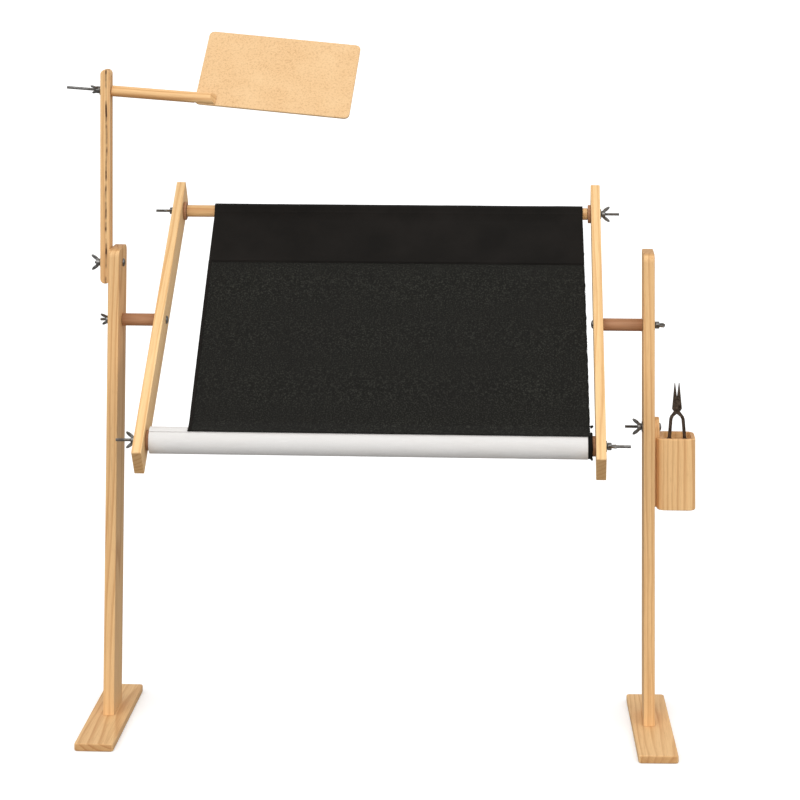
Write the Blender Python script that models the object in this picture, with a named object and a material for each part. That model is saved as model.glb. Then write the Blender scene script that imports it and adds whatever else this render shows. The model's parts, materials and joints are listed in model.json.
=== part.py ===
"""Floor-standing tapestry scroll frame: two post-and-foot sides, a tilting scroll frame between
them, a chart holder on the left post and a tool box with scissors on the right post.

Metres, +Z up, +Y away from the sitter. The origin is on the floor, midway between the posts and
under the line that the scroll frame turns about.
"""

import math

import bmesh
import bpy
from mathutils import Matrix, Vector

# Driving dimensions -----------------------------------------------------------------------------

GAP = 0.0003  # play between neighbouring pieces
SPARE = 0.010  # reach of a cutting tool beyond the piece it cuts
EDGE = 0.0015  # sanded edge of the posts
SLIM_EDGE = 0.0012  # sanded edge of the arms, the slat and the tool box
ROUND_CHAMFER = 0.0008  # of the spacers and the chart arm
FINE_CHAMFER = 0.0007  # of the flanges, the studs and the chart arm's rod
BLIND_SPARE = 0.001  # room past the end of a stud or rod in its blind hole

POST_X = 0.4355  # middle of a post's bottom from the middle of the stand
POST_LEAN = {-1: 0.0115, 1: 0.0}  # of the left and right post inwards, for each metre of height
POST_T = 0.018
POST_DEPTH = 0.074
POST_TOP = 0.765
POST_CORNER = 0.012

FOOT_T = 0.012
FOOT_W = 0.062
FOOT_FRONT = -0.168
FOOT_BACK = 0.119
FOOT_CORNER = 0.005
FOOT_EDGE = 0.0020
FOOT_TURN = {-1: 0.0, 1: math.radians(1.9)}  # of the left and right foot, seen from above
FOOT_SHIFT = {-1: 0.0, 1: 0.0035}  # of a foot's middle to the right of its post's
FOOT_SCREWS = ((-0.018, "front"), (0.018, "rear"))  # places along Y
FOOT_SCREW_R = 0.0022
FOOT_SCREW_HEAD_R = 0.0047
FOOT_SCREW_HEAD_H = 0.0040
FOOT_SCREW_L = 0.050
FOOT_SCREW_SINK = 0.0008  # from the floor to the face of the head
FOOT_SCREW_SPARE = 0.004  # room past its point
SCREW_POINT = 0.004  # length of a wood screw's point

PIVOT_Z = 0.646
FRAME_LEAN = math.radians(52.5)  # of the scroll frame, back from upright
ARM_X = 0.3548
ARM_T = 0.0155
ARM_W = 0.051
ARM_L = 0.587
ARM_CORNER = 0.002
BAR_AT = 0.248  # each scroll bar from the pivot, along the arm
BAR_R = 0.010
FLANGE_R = 0.0155
FLANGE_T = 0.005
SPACER_R = 0.010
SPACER_BORE_R = 0.0031

CLOTH_LEFT_TOP = -0.293
CLOTH_RIGHT_TOP = 0.333
CLOTH_LEFT_BOTTOM = -0.281
CLOTH_RIGHT_BOTTOM = 0.339
CLOTH_T = 0.0012
WRAP_R = 0.0110  # dark cloth round the top bar
ROLL_R = 0.0215  # cloth rolled on the bottom bar
ROLL_RIGHT = 0.335
ROLL_EDGE_R = 0.0207
ROLL_EDGE_W = 0.0055

THREAD_R = 0.0025  # M5
HOLE_R = 0.0029
WASHER_R = 0.0085
WASHER_T = 0.0014
NUT_H = 0.0065
NUT_SEAT_R = 0.0058
NUT_HUB_R = 0.0062
NUT_TOP_R = 0.0047
NUT_ROUNDING = 0.0011  # height of the hub's rounded foot and top
WING_SPAN = 0.026
WING_H = 0.0144
WING_T = 0.0022
WING_HALF_W = 0.0024
WING_HALF_L = 0.0077
WING_SPLAY = math.radians(38.0)
HEAD_R = 0.0066
HEAD_H = 0.0035
HEAD_RIM = 0.0006  # straight edge under a bolt head's dome
THREAD_CHAMFER = 0.0008
PIVOT_BOLT_OUT = 0.018  # of a pivot bolt's end outside its post
STUD_DEPTH = 0.022  # of a stud inside its bar
STUD_END = 0.395
LONG_STUD_END = 0.401

UPRIGHT_T = 0.016
UPRIGHT_W = 0.028
UPRIGHT_BOTTOM = 0.706
UPRIGHT_TOP = 1.054
UPRIGHT_ROUND = 0.0075  # of its ends, seen from the front
UPRIGHT_LOWEST = 0.660  # height of its lower end when it is let right down
SLOT_W = 0.008
SLOT_BOTTOM = 0.727
SLOT_TOP = 1.044
CHART_CLAMP_Z = 0.739
CHART_CLAMP_END = -0.464

CHART_ARM_Z = 1.0195
CHART_ARM_SAG = math.radians(4.2)  # of the arm's free end
CHART_ARM_R = 0.009
CHART_ARM_L = 0.1711
CHART_ARM_CUT = math.radians(38.0)  # slant of the free end
CHART_ARM_CUT_Y = 0.002  # where that slant is at the arm's full length
CHART_ROD_OUT = 0.0653  # from the slot, along the rod
CHART_ROD_IN = 0.035
CHART_LEAN = math.radians(44.0)
CHART_SEAT = 0.003  # flat for the board, from the arm's axis
BOARD_W = 0.254
BOARD_H = 0.155
BOARD_T = 0.004
BOARD_START = 0.1457
BOARD_CORNER = 0.009
BOARD_EDGE = 0.0007
BOARD_TURN = math.radians(1.4)  # clockwise from the arm, seen from the front
BOARD_SCREWS = (BOARD_START + 0.008, BOARD_START + 0.021)  # places along the arm
BOARD_SCREW_R = 0.0015
BOARD_SCREW_HEAD_R = 0.0032
BOARD_SCREW_HEAD_H = 0.0018
BOARD_SCREW_L = 0.0120
BOARD_SCREW_HOLE_R = 0.0018

BOX_CLAMP_Z = 0.482
BOX_PLATE_T = 0.008
BOX_PLATE_W = 0.032
BOX_PLATE_UP = 0.002  # of the plate's lower end above the box's
BOX_PLATE_EDGE = 0.0010
BOX_BOTTOM = 0.355
BOX_TOP = 0.469
BOX_RIGHT = 0.510
BOX_OFF_POST = 0.003  # slit between the box and the post, beside the plate
BOX_DEPTH = 0.060
BOX_CORNER = 0.013
POCKET_LEFT = 0.459
POCKET_RIGHT = 0.5035
POCKET_DEPTH = 0.047
POCKET_FLOOR = 0.4255
POCKET_CORNER = 0.008
BOX_BOLT_END = 0.398

SCISSORS_Y = -0.006
SCISSORS_PIVOT_Z = 0.514
SCISSORS_OPEN = math.radians(9.0)
BLADE_L = 0.0405
BLADE_T = 0.0016
BLADE_HALF_W = 0.0052  # at the screw
BLADE_TIP_HALF_W = 0.0006
BLADE_OFFSET = 0.55  # of a closed blade's middle from the screw, in half widths
SHANK_L = 0.050
SHANK_HALF_W = 0.0027
SHANK_BEND = 2.8  # 1 would spread the bend over the whole shank
RING_X = 0.0083
RING_Z = -0.0665
RING_HALF_W = 0.0078
RING_HALF_H = 0.0200
RING_WIRE = 0.0030
RING_T = 0.0019
HALF_PLAY = 0.0002  # from the middle to each half's ring
SCISSORS_SCREW_R = 0.0015
SCISSORS_HEAD_R = 0.0026
SCISSORS_HEAD_H = 0.0010
SCISSORS_HEAD_EDGE = 0.0005
SCISSORS_HOLE_R = 0.0018

# Where each wing nut's wings stand at rest, in degrees from upright.
WING_TURNS = {
    "left_pivot_wing_nut": 44.0,
    "right_pivot_wing_nut": 87.0,
    "top_left_wing_nut": 84.0,
    "top_right_wing_nut": 6.0,
    "bottom_left_wing_nut": 3.0,
    "bottom_right_wing_nut": 81.0,
    "chart_clamp_wing_nut": 4.0,
    "chart_arm_wing_nut": 62.0,
    "tool_box_wing_nut": -3.0,
}

# Finish: colour, roughness, metallic.
FINISHES = {
    "pine": ((0.83, 0.60, 0.36), 0.55, 0.0),
    "pale_pine": ((0.86, 0.66, 0.40), 0.55, 0.0),
    "brown_pine": ((0.62, 0.38, 0.24), 0.60, 0.0),
    "hardboard": ((0.80, 0.58, 0.33), 0.60, 0.0),
    "zinc": ((0.42, 0.42, 0.43), 0.35, 1.0),
    "black_cloth": ((0.022, 0.019, 0.017), 0.90, 0.0),
    "white_cloth": ((0.78, 0.76, 0.74), 0.90, 0.0),
    "blade_steel": ((0.20, 0.17, 0.15), 0.40, 1.0),
}

ROUND = 18  # sides of small round pieces
BAR_SIDES = 28


# Shapes: each function returns a bmesh in the piece's own space -----------------------------------


def ellipse(half_u, half_v, sides, centre=(0.0, 0.0), lean=0.0):
    """Points round an ellipse, as (u, v); its v axis leans by lean radians towards +u."""
    points = []
    for i in range(sides):
        angle = 2.0 * math.pi * i / sides
        u = half_u * math.cos(angle)
        v = half_v * math.sin(angle)
        points.append(
            (
                centre[0] + u * math.cos(lean) + v * math.sin(lean),
                centre[1] - u * math.sin(lean) + v * math.cos(lean),
            )
        )
    return points


def rounded_rectangle(u_low, u_high, v_low, v_high, low_radius, high_radius, steps=5):
    """Anticlockwise outline, with one corner radius at the low v end and one at the high v end."""
    corners = (
        (u_high - low_radius, v_low + low_radius, low_radius, -90.0),
        (u_high - high_radius, v_high - high_radius, high_radius, 0.0),
        (u_low + high_radius, v_high - high_radius, high_radius, 90.0),
        (u_low + low_radius, v_low + low_radius, low_radius, 180.0),
    )
    points = []
    for u, v, radius, first in corners:
        count = steps if radius > 0.0 else 0
        for i in range(count + 1):
            angle = math.radians(first + (90.0 * i / count if count else 0.0))
            points.append((u + radius * math.cos(angle), v + radius * math.sin(angle)))
    return points


def prism(corners, step):
    """A flat face with these corners, extruded by the vector step."""
    bm = bmesh.new()
    face = bm.faces.new([bm.verts.new(corner) for corner in corners])
    grown = bmesh.ops.extrude_face_region(bm, geom=[face])
    far = [item for item in grown["geom"] if isinstance(item, bmesh.types.BMVert)]
    bmesh.ops.translate(bm, verts=far, vec=step)
    bmesh.ops.recalc_face_normals(bm, faces=bm.faces)
    return bm


def slab(outline, thickness):
    """An outline in the local YZ plane, extruded along local X and centred on it."""
    return prism([(-thickness / 2, u, v) for u, v in outline], (thickness, 0.0, 0.0))


def turned(profile, sides=ROUND):
    """A profile of (x, radius) points turned about local X; radius 0 at both ends closes it."""
    bm = bmesh.new()
    rings = []
    for x, radius in profile:
        if radius == 0.0:
            rings.append([bm.verts.new((x, 0.0, 0.0))])
        else:
            rings.append([bm.verts.new((x, u, v)) for u, v in ellipse(radius, radius, sides)])
    pairs = list(zip(rings, rings[1:]))
    if profile[0][1] > 0.0:
        pairs.append((rings[-1], rings[0]))
    for one, other in pairs:
        for i in range(sides):
            j = (i + 1) % sides
            if len(one) == 1:
                bm.faces.new((one[0], other[i], other[j]))
            elif len(other) == 1:
                bm.faces.new((one[j], one[i], other[0]))
            else:
                bm.faces.new((one[j], one[i], other[i], other[j]))
    bmesh.ops.recalc_face_normals(bm, faces=bm.faces)
    return bm


def rod(radius, x_low, x_high, sides=ROUND, chamfer=0.0):
    """A plain cylinder along local X, or one with chamfered ends."""
    if chamfer == 0.0:
        return turned([(x_low, 0.0), (x_low, radius), (x_high, radius), (x_high, 0.0)], sides)
    inner = radius - chamfer
    return turned(
        [
            (x_low, 0.0),
            (x_low, inner),
            (x_low + chamfer, radius),
            (x_high - chamfer, radius),
            (x_high, inner),
            (x_high, 0.0),
        ],
        sides,
    )


def tube(inner, outer, x_low, x_high, sides=ROUND, chamfer=0.0):
    """A ring or a tube along local X."""
    profile = [(x_low, inner), (x_low, outer - chamfer)]
    if chamfer:
        profile += [(x_low + chamfer, outer), (x_high - chamfer, outer)]
    return turned(profile + [(x_high, outer - chamfer), (x_high, inner)], sides)


def block(low, high):
    """A plain box between two corners."""
    bm = bmesh.new()
    bmesh.ops.create_cube(bm, size=1.0)
    size = Vector(high) - Vector(low)
    centre = (Vector(high) + Vector(low)) / 2
    bmesh.ops.transform(
        bm, matrix=Matrix.Translation(centre) @ Matrix.Diagonal((*size, 1.0)), verts=bm.verts
    )
    return bm


def moved(bm, location=(0.0, 0.0, 0.0), rotation=None):
    """The same bmesh, turned by a matrix and then moved."""
    matrix = Matrix.Translation(location)
    if rotation is not None:
        matrix = matrix @ rotation.to_4x4()
    bmesh.ops.transform(bm, matrix=matrix, verts=bm.verts)
    return bm


# Objects ------------------------------------------------------------------------------------------


def clear_scene():
    for obj in list(bpy.data.objects):
        bpy.data.objects.remove(obj, do_unlink=True)


def link(name, data):
    obj = bpy.data.objects.new(name, data)
    bpy.context.scene.collection.objects.link(obj)
    return obj


def make(name, bm, finish=None):
    """An object from a bmesh, with its own material when a finish is named."""
    mesh = bpy.data.meshes.new(name)
    bm.to_mesh(mesh)
    bm.free()
    obj = link(name, mesh)
    if finish:
        add_material(obj, finish)
    return obj


def add_material(obj, finish):
    colour, roughness, metallic = FINISHES[finish]
    material = bpy.data.materials.new(obj.name)
    material.use_nodes = True
    shader = material.node_tree.nodes["Principled BSDF"]
    shader.inputs["Base Color"].default_value = (*colour, 1.0)
    shader.inputs["Roughness"].default_value = roughness
    shader.inputs["Metallic"].default_value = metallic
    obj.data.materials.clear()
    obj.data.materials.append(material)


def apply_modifiers(obj):
    """Replaces the object's mesh with the one its modifiers give."""
    bpy.context.view_layer.update()
    seen = obj.evaluated_get(bpy.context.evaluated_depsgraph_get())
    mesh = bpy.data.meshes.new_from_object(seen)
    obj.modifiers.clear()
    obj.data = mesh


def combine(obj, tools, operation):
    """One exact Boolean per tool, made in the object's own space; the tools are then removed."""
    for bm in tools:
        tool = make(obj.name + "_tool", bm)
        step = obj.modifiers.new(operation.title(), "BOOLEAN")
        step.operation = operation
        step.solver = "EXACT"
        step.object = tool
        apply_modifiers(obj)
        bpy.data.objects.remove(tool, do_unlink=True)


def sand_edges(obj, width=EDGE, segments=2):
    """Rounds every sharp edge."""
    step = obj.modifiers.new("Bevel", "BEVEL")
    step.width = width
    step.segments = segments
    step.limit_method = "ANGLE"
    step.angle_limit = math.radians(40)
    apply_modifiers(obj)


def smooth(obj, angle=35.0):
    obj.data.shade_smooth()
    obj.data.set_sharp_from_angle(angle=math.radians(angle))


def empty(name, location, rotation=None, parent=None):
    """A frame on a joint's axis."""
    obj = link(name, None)
    obj.empty_display_size = 0.03
    place(obj, location, rotation, parent)
    return obj


def place(obj, location=(0.0, 0.0, 0.0), rotation=None, parent=None):
    obj.parent = parent
    obj.location = location
    if rotation is not None:
        obj.rotation_euler = rotation.to_euler()
    return obj


def turn(axis, angle):
    return Matrix.Rotation(angle, 3, axis)


UP = turn("Y", -math.pi / 2)  # takes a piece's local X to the vertical
LEFTWARD = turn("Z", math.pi)  # takes a piece's local X to -X


def facing(side):
    """Local X away from the middle of the stand: side is -1 on the left and 1 on the right."""
    return LEFTWARD if side < 0 else Matrix.Identity(3)


# Hardware -----------------------------------------------------------------------------------------


def carriage_bolt(length):
    """A domed head on the -X side of x = 0 and a shank running to x = length."""
    dome = []
    steps = 4
    for i in range(steps + 1):
        angle = math.radians(90.0 * i / steps)
        radius = HEAD_R * math.sin(angle)
        dome.append((-HEAD_RIM - (HEAD_H - HEAD_RIM) * math.cos(angle), radius))
    shank = [
        (0.0, HEAD_R),
        (0.0, THREAD_R),
        (length - THREAD_CHAMFER, THREAD_R),
        (length, THREAD_R - THREAD_CHAMFER),
        (length, 0.0),
    ]
    return turned(dome + shank, 16)


def wood_screw(head_r, head_h, shank_r, length, countersunk):
    """A screw along local X with its head's face at x = 0 and its point at x = length."""
    if countersunk:
        head = [(0.0, 0.0), (0.0, head_r), (head_h, shank_r)]
    else:
        head = [(0.0, 0.0), (0.0, head_r * 0.7), (head_h * 0.4, head_r), (head_h, head_r)]
        head.append((head_h, shank_r))
    return turned(head + [(length - SCREW_POINT, shank_r), (length, 0.0)], 12)


def wing_nut_mesh():
    """Hub, through bore and two oval wings along local Z; it seats at x = 0 and faces +X."""
    hub = [
        (0.0, 0.0),
        (0.0, NUT_SEAT_R),
        (NUT_ROUNDING, NUT_HUB_R),
        (NUT_H - NUT_ROUNDING, NUT_TOP_R),
        (NUT_H, NUT_TOP_R - NUT_ROUNDING / 2),
        (NUT_H, 0.0),
    ]
    nut = make("wing_nut", turned(hub, 16))
    half = WING_SPAN / 2
    wings = []
    for side in (-1, 1):
        oval = ellipse(WING_HALF_W, WING_HALF_L, 14, lean=WING_SPLAY)
        reach = max(u for u, v in oval)
        rise = max(v for u, v in oval)
        outline = [(side * (half - reach + u), WING_H - rise + v) for u, v in oval]
        # The slab's plane holds u and v, so its local X is the wing's thickness.
        wing = slab(outline, WING_T)
        basis = Matrix(((0.0, 0.0, 1.0), (1.0, 0.0, 0.0), (0.0, 1.0, 0.0)))
        wings.append(moved(wing, rotation=basis))
    combine(nut, wings, "UNION")
    combine(nut, [rod(HOLE_R, -SPARE, NUT_H + SPARE, 16)], "DIFFERENCE")
    smooth(nut, 40.0)
    mesh = nut.data
    bpy.data.objects.remove(nut, do_unlink=True)
    return mesh


def add_wing_nut(name, mesh, location, side, parent, lean=0.0):
    """side is the way the nut faces along X. lean is the parent's, back from upright."""
    obj = link(name, mesh.copy())
    add_material(obj, "zinc")
    upright = turn("X", math.radians(WING_TURNS[name]) + lean)
    return place(obj, location, upright @ facing(side), parent)


def add_washer(name, location, parent=None, rotation=None):
    """A washer centred on location, its axis along X."""
    ring = tube(HOLE_R, WASHER_R, -WASHER_T / 2, WASHER_T / 2)
    obj = make(name, ring, "zinc")
    smooth(obj)
    return place(obj, location, rotation, parent)


def add_bolt(name, location, length, side, parent=None):
    """The head's underside at location; the shank points to side."""
    obj = make(name, carriage_bolt(length), "zinc")
    smooth(obj)
    return place(obj, location, facing(side), parent)


# Stand --------------------------------------------------------------------------------------------


def post_face(side, z, outwards):
    """Distance of a post's outer (outwards 1) or inner (-1) face from the middle at a height."""
    return POST_X - POST_LEAN[side] * z + outwards * POST_T / 2


def lean_play(side, radius):
    """Room that a flat round piece needs beside a post's leaning face."""
    return GAP + POST_LEAN[side] * radius


def add_foot(side, name):
    """A flat board under the post, drilled and countersunk from below for its screws."""
    half = FOOT_W / 2
    outline = rounded_rectangle(
        FOOT_FRONT, FOOT_BACK, -half, half, FOOT_CORNER, FOOT_CORNER, 3
    )
    foot = make(name, slab(outline, FOOT_T), "pine")
    sand_edges(foot, FOOT_EDGE)
    floor = -FOOT_T / 2
    wide = FOOT_SCREW_HEAD_R + 2 * GAP
    narrow = FOOT_SCREW_R + GAP
    cone_from = floor + FOOT_SCREW_SINK + GAP
    profile = [
        (floor - SPARE, 0.0),
        (floor - SPARE, wide),
        (cone_from, wide),
        (cone_from + FOOT_SCREW_HEAD_H, narrow),
        (FOOT_T, narrow),
        (FOOT_T, 0.0),
    ]
    turned_by = turn("Z", FOOT_TURN[side])
    drills = []
    for y, _ in FOOT_SCREWS:
        hole = turned_by.inverted() @ Vector((-FOOT_SHIFT[side], y, 0.0))
        drills.append(moved(turned(profile, 12), (0.0, hole.y, -hole.x)))
    combine(foot, drills, "DIFFERENCE")
    place(foot, (side * POST_X + FOOT_SHIFT[side], 0.0, FOOT_T / 2), turned_by @ UP)


def add_post(side, name, cross_holes):
    """An upright board, cut level at the bottom. cross_holes are heights of its bolt holes."""
    half = POST_DEPTH / 2
    bottom = FOOT_T + GAP
    outline = rounded_rectangle(-half, half, bottom - 2 * EDGE, POST_TOP, 0.0, POST_CORNER)
    post = make(name, slab(outline, POST_T), "pine")
    sand_edges(post)
    for vertex in post.data.vertices:
        vertex.co.x -= side * POST_LEAN[side] * vertex.co.z
    cuts = [block((-half, -half - SPARE, -SPARE), (half, half + SPARE, bottom))]
    cuts += [moved(rod(HOLE_R, -half, half), (0.0, 0.0, z)) for z in cross_holes]
    screw_top = FOOT_SCREW_SINK + FOOT_SCREW_L + FOOT_SCREW_SPARE
    for y, _ in FOOT_SCREWS:
        cuts.append(moved(rod(FOOT_SCREW_R + GAP, 0.0, screw_top, 12), (0.0, y, 0.0), UP))
    combine(post, cuts, "DIFFERENCE")
    place(post, (side * POST_X, 0.0, 0.0))


def add_foot_screws(side, name):
    for y, tag in FOOT_SCREWS:
        screw = wood_screw(
            FOOT_SCREW_HEAD_R, FOOT_SCREW_HEAD_H, FOOT_SCREW_R, FOOT_SCREW_L, countersunk=True
        )
        obj = make(f"{name}_foot_screw_{tag}", screw, "zinc")
        smooth(obj)
        place(obj, (side * POST_X, y, FOOT_SCREW_SINK), UP)


def add_spacer(side, name):
    """A round spacer on the pivot bolt, between the post and the scroll frame's arm."""
    post_end = post_face(side, PIVOT_Z, -1) - lean_play(side, SPACER_R)
    arm_end = ARM_X + ARM_T / 2 + GAP
    half = (post_end - arm_end) / 2
    spacer = tube(SPACER_BORE_R, SPACER_R, -half, half, 24, ROUND_CHAMFER)
    obj = make(name, spacer, "brown_pine")
    smooth(obj)
    place(obj, (side * (post_end + arm_end) / 2, 0.0, PIVOT_Z))


def add_stand():
    holes = {-1: (PIVOT_Z, CHART_CLAMP_Z), 1: (PIVOT_Z, BOX_CLAMP_Z)}
    for side, word in ((-1, "left"), (1, "right")):
        add_foot(side, f"{word}_foot")
        add_post(side, f"{word}_post", holes[side])
        add_foot_screws(side, word)
        add_spacer(side, f"{word}_spacer")
        washer_x = post_face(side, PIVOT_Z, 1) + lean_play(side, WASHER_R) + WASHER_T / 2
        add_washer(f"{word}_pivot_washer", (side * washer_x, 0.0, PIVOT_Z))


# Scroll frame -------------------------------------------------------------------------------------


def add_arms(pivot):
    half_w = ARM_W / 2
    half_l = ARM_L / 2
    for side, word in ((-1, "left"), (1, "right")):
        outline = rounded_rectangle(
            -half_w, half_w, -half_l, half_l, ARM_CORNER, ARM_CORNER, 2
        )
        arm = make(f"{word}_arm", slab(outline, ARM_T), "pale_pine")
        sand_edges(arm, SLIM_EDGE)
        holes = (-BAR_AT, 0.0, BAR_AT)
        drills = [moved(rod(HOLE_R, -ARM_T, ARM_T), (0.0, 0.0, z)) for z in holes]
        combine(arm, drills, "DIFFERENCE")
        place(arm, (side * ARM_X, 0.0, 0.0), None, pivot)


def add_pivot_bolts(pivot, nut_mesh):
    """Each bolt's head is on the arm's inner face and its wing nut is outside the post."""
    head_x = ARM_X - ARM_T / 2 - GAP
    for side, word in ((-1, "left"), (1, "right")):
        face_x = post_face(side, PIVOT_Z, 1)
        nut_x = face_x + lean_play(side, WASHER_R) + WASHER_T + GAP
        length = face_x + PIVOT_BOLT_OUT - head_x
        add_bolt(f"{word}_pivot_bolt", (side * head_x, 0.0, 0.0), length, side, pivot)
        name = f"{word}_pivot_wing_nut"
        add_wing_nut(name, nut_mesh, (side * nut_x, 0.0, 0.0), side, pivot, FRAME_LEAN)


def bar_profile(half_length):
    """A round bar with a blind stud hole in each end."""
    deep = half_length - STUD_DEPTH - BLIND_SPARE
    one_end = [(deep, 0.0), (deep, HOLE_R), (half_length, HOLE_R), (half_length, BAR_R)]
    other_end = [(-x, r) for x, r in one_end]
    return other_end + one_end[::-1]


def add_scroll_bar(word, z, studs, pivot, nut_mesh):
    """A bar between the arms, with a flange, a stud, a washer and a wing nut at each end.

    studs gives how far each stud reaches from the middle, left then right.
    """
    flange_out = ARM_X - ARM_T / 2 - GAP
    flange_in = flange_out - FLANGE_T
    bar_end = flange_in - GAP
    axis = empty(f"{word}_bar_axis", (0.0, 0.0, z), None, pivot)
    bar = make(f"{word}_bar", turned(bar_profile(bar_end), BAR_SIDES), "pine")
    smooth(bar)
    place(bar, parent=axis)
    arm_face = ARM_X + ARM_T / 2
    for side, end_word, reach in ((-1, "left", studs[0]), (1, "right", studs[1])):
        name = f"{word}_{end_word}"
        flange = tube(HOLE_R, FLANGE_R, flange_in, flange_out, BAR_SIDES, FINE_CHAMFER)
        obj = make(f"{name}_flange", flange, "brown_pine")
        smooth(obj)
        place(obj, (0.0, 0.0, 0.0), facing(side), axis)
        stud = rod(THREAD_R, bar_end - STUD_DEPTH, reach, 16, FINE_CHAMFER)
        obj = make(f"{name}_stud", stud, "zinc")
        smooth(obj)
        place(obj, (0.0, 0.0, 0.0), facing(side), axis)
        washer_x = arm_face + GAP + WASHER_T / 2
        add_washer(f"{name}_washer", (side * washer_x, 0.0, z), pivot)
        place_x = side * (arm_face + WASHER_T + 2 * GAP)
        add_wing_nut(f"{name}_wing_nut", nut_mesh, (place_x, 0.0, 0.0), side, axis, FRAME_LEAN)
    return axis


def add_rolled_cloth(name, outer, x_low, x_high, finish, axis):
    obj = make(name, tube(BAR_R + GAP, outer, x_low, x_high, 36), finish)
    smooth(obj)
    place(obj, parent=axis)


def add_cloth_panel(pivot):
    """The stretched cloth, touching the front of both rolls; it is wider at the bottom right."""
    top_y = -(WRAP_R + 2 * GAP)
    bottom_y = -(ROLL_R + 2 * GAP)
    corners = (
        (CLOTH_LEFT_BOTTOM, bottom_y, -BAR_AT),
        (CLOTH_RIGHT_BOTTOM, bottom_y, -BAR_AT),
        (CLOTH_RIGHT_TOP, top_y, BAR_AT),
        (CLOTH_LEFT_TOP, top_y, BAR_AT),
    )
    place(make("cloth_panel", prism(corners, (0.0, -CLOTH_T, 0.0)), "black_cloth"), parent=pivot)


def add_scroll_frame(nut_mesh):
    pivot = empty("scroll_frame_pivot", (0.0, 0.0, PIVOT_Z), turn("X", -FRAME_LEAN))
    add_arms(pivot)
    add_pivot_bolts(pivot, nut_mesh)
    top = add_scroll_bar("top", BAR_AT, (STUD_END, STUD_END), pivot, nut_mesh)
    bottom = add_scroll_bar("bottom", -BAR_AT, (STUD_END, LONG_STUD_END), pivot, nut_mesh)
    add_rolled_cloth("top_cloth_wrap", WRAP_R, CLOTH_LEFT_TOP, CLOTH_RIGHT_TOP, "black_cloth", top)
    roll_left = -(ARM_X - ARM_T / 2 - FLANGE_T - 3 * GAP)
    add_rolled_cloth("bottom_cloth_roll", ROLL_R, roll_left, ROLL_RIGHT, "white_cloth", bottom)
    edge_left = ROLL_RIGHT + GAP
    edge_right = edge_left + ROLL_EDGE_W
    add_rolled_cloth("roll_cloth_edge", ROLL_EDGE_R, edge_left, edge_right, "black_cloth", bottom)
    add_cloth_panel(pivot)


# Chart holder -------------------------------------------------------------------------------------


def slat_middle():
    """X of the slotted slat's middle: clear of the leaning post even when it is let down."""
    return -(post_face(-1, UPRIGHT_LOWEST, 1) + GAP + UPRIGHT_T / 2)


def add_chart_upright(clamp):
    """A slotted slat beside the left post; its ends are round seen from the front."""
    half = UPRIGHT_T / 2
    low = UPRIGHT_BOTTOM - CHART_CLAMP_Z
    high = UPRIGHT_TOP - CHART_CLAMP_Z
    outline = rounded_rectangle(-half, half, low, high, UPRIGHT_ROUND, UPRIGHT_ROUND)
    across = moved(slab(outline, UPRIGHT_W), rotation=turn("Z", math.pi / 2))
    upright = make("chart_upright", across, "pine")
    sand_edges(upright, SLIM_EDGE)
    slot_r = SLOT_W / 2
    slot_low = SLOT_BOTTOM - CHART_CLAMP_Z
    slot_high = SLOT_TOP - CHART_CLAMP_Z
    slot = rounded_rectangle(-slot_r, slot_r, slot_low, slot_high, slot_r, slot_r, 4)
    combine(upright, [slab(slot, 2 * UPRIGHT_T)], "DIFFERENCE")
    place(upright, (slat_middle(), 0.0, 0.0), None, clamp)


def add_chart_clamp(nut_mesh):
    """The bolt through the left post that holds the slotted slat."""
    clamp = empty("chart_clamp_pivot", (0.0, 0.0, CHART_CLAMP_Z))
    head_x = lean_play(-1, HEAD_R) - post_face(-1, CHART_CLAMP_Z, -1)
    add_bolt("chart_clamp_bolt", (head_x, 0.0, 0.0), head_x - CHART_CLAMP_END, -1, clamp)
    add_chart_upright(clamp)
    slat_face = slat_middle() - UPRIGHT_T / 2
    washer_x = slat_face - GAP - WASHER_T / 2
    add_washer("chart_clamp_washer", (washer_x, 0.0, 0.0), clamp)
    nut_x = slat_face - WASHER_T - 2 * GAP
    add_wing_nut("chart_clamp_wing_nut", nut_mesh, (nut_x, 0.0, 0.0), -1, clamp)


def add_chart_arm(start, holder):
    """A dowel with a rod hole, a flat seat behind its free end and a slanting end cut."""
    end = start + CHART_ARM_L
    arm = make("chart_arm", rod(CHART_ARM_R, start, end, 24, ROUND_CHAMFER), "pine")
    wide = CHART_ARM_R + SPARE
    seat = block((BOARD_START - 2 * GAP, CHART_SEAT, -wide), (end + wide, wide, wide))
    slant = block((0.0, -3 * wide, -wide), (wide, wide, wide))
    slant = moved(slant, (end, CHART_ARM_CUT_Y, 0.0), turn("Z", -CHART_ARM_CUT))
    hole = rod(HOLE_R, start - SPARE, start + CHART_ROD_IN + BLIND_SPARE)
    deep = BOARD_SCREW_L - BOARD_T - CHART_SEAT
    screws = [
        moved(rod(BOARD_SCREW_HOLE_R, -deep, SPARE, 12), (x, 0.0, 0.0), turn("Z", math.pi / 2))
        for x in BOARD_SCREWS
    ]
    combine(arm, [hole, seat, slant] + screws, "DIFFERENCE")
    smooth(arm, 30.0)
    place(arm, parent=holder)


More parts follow.
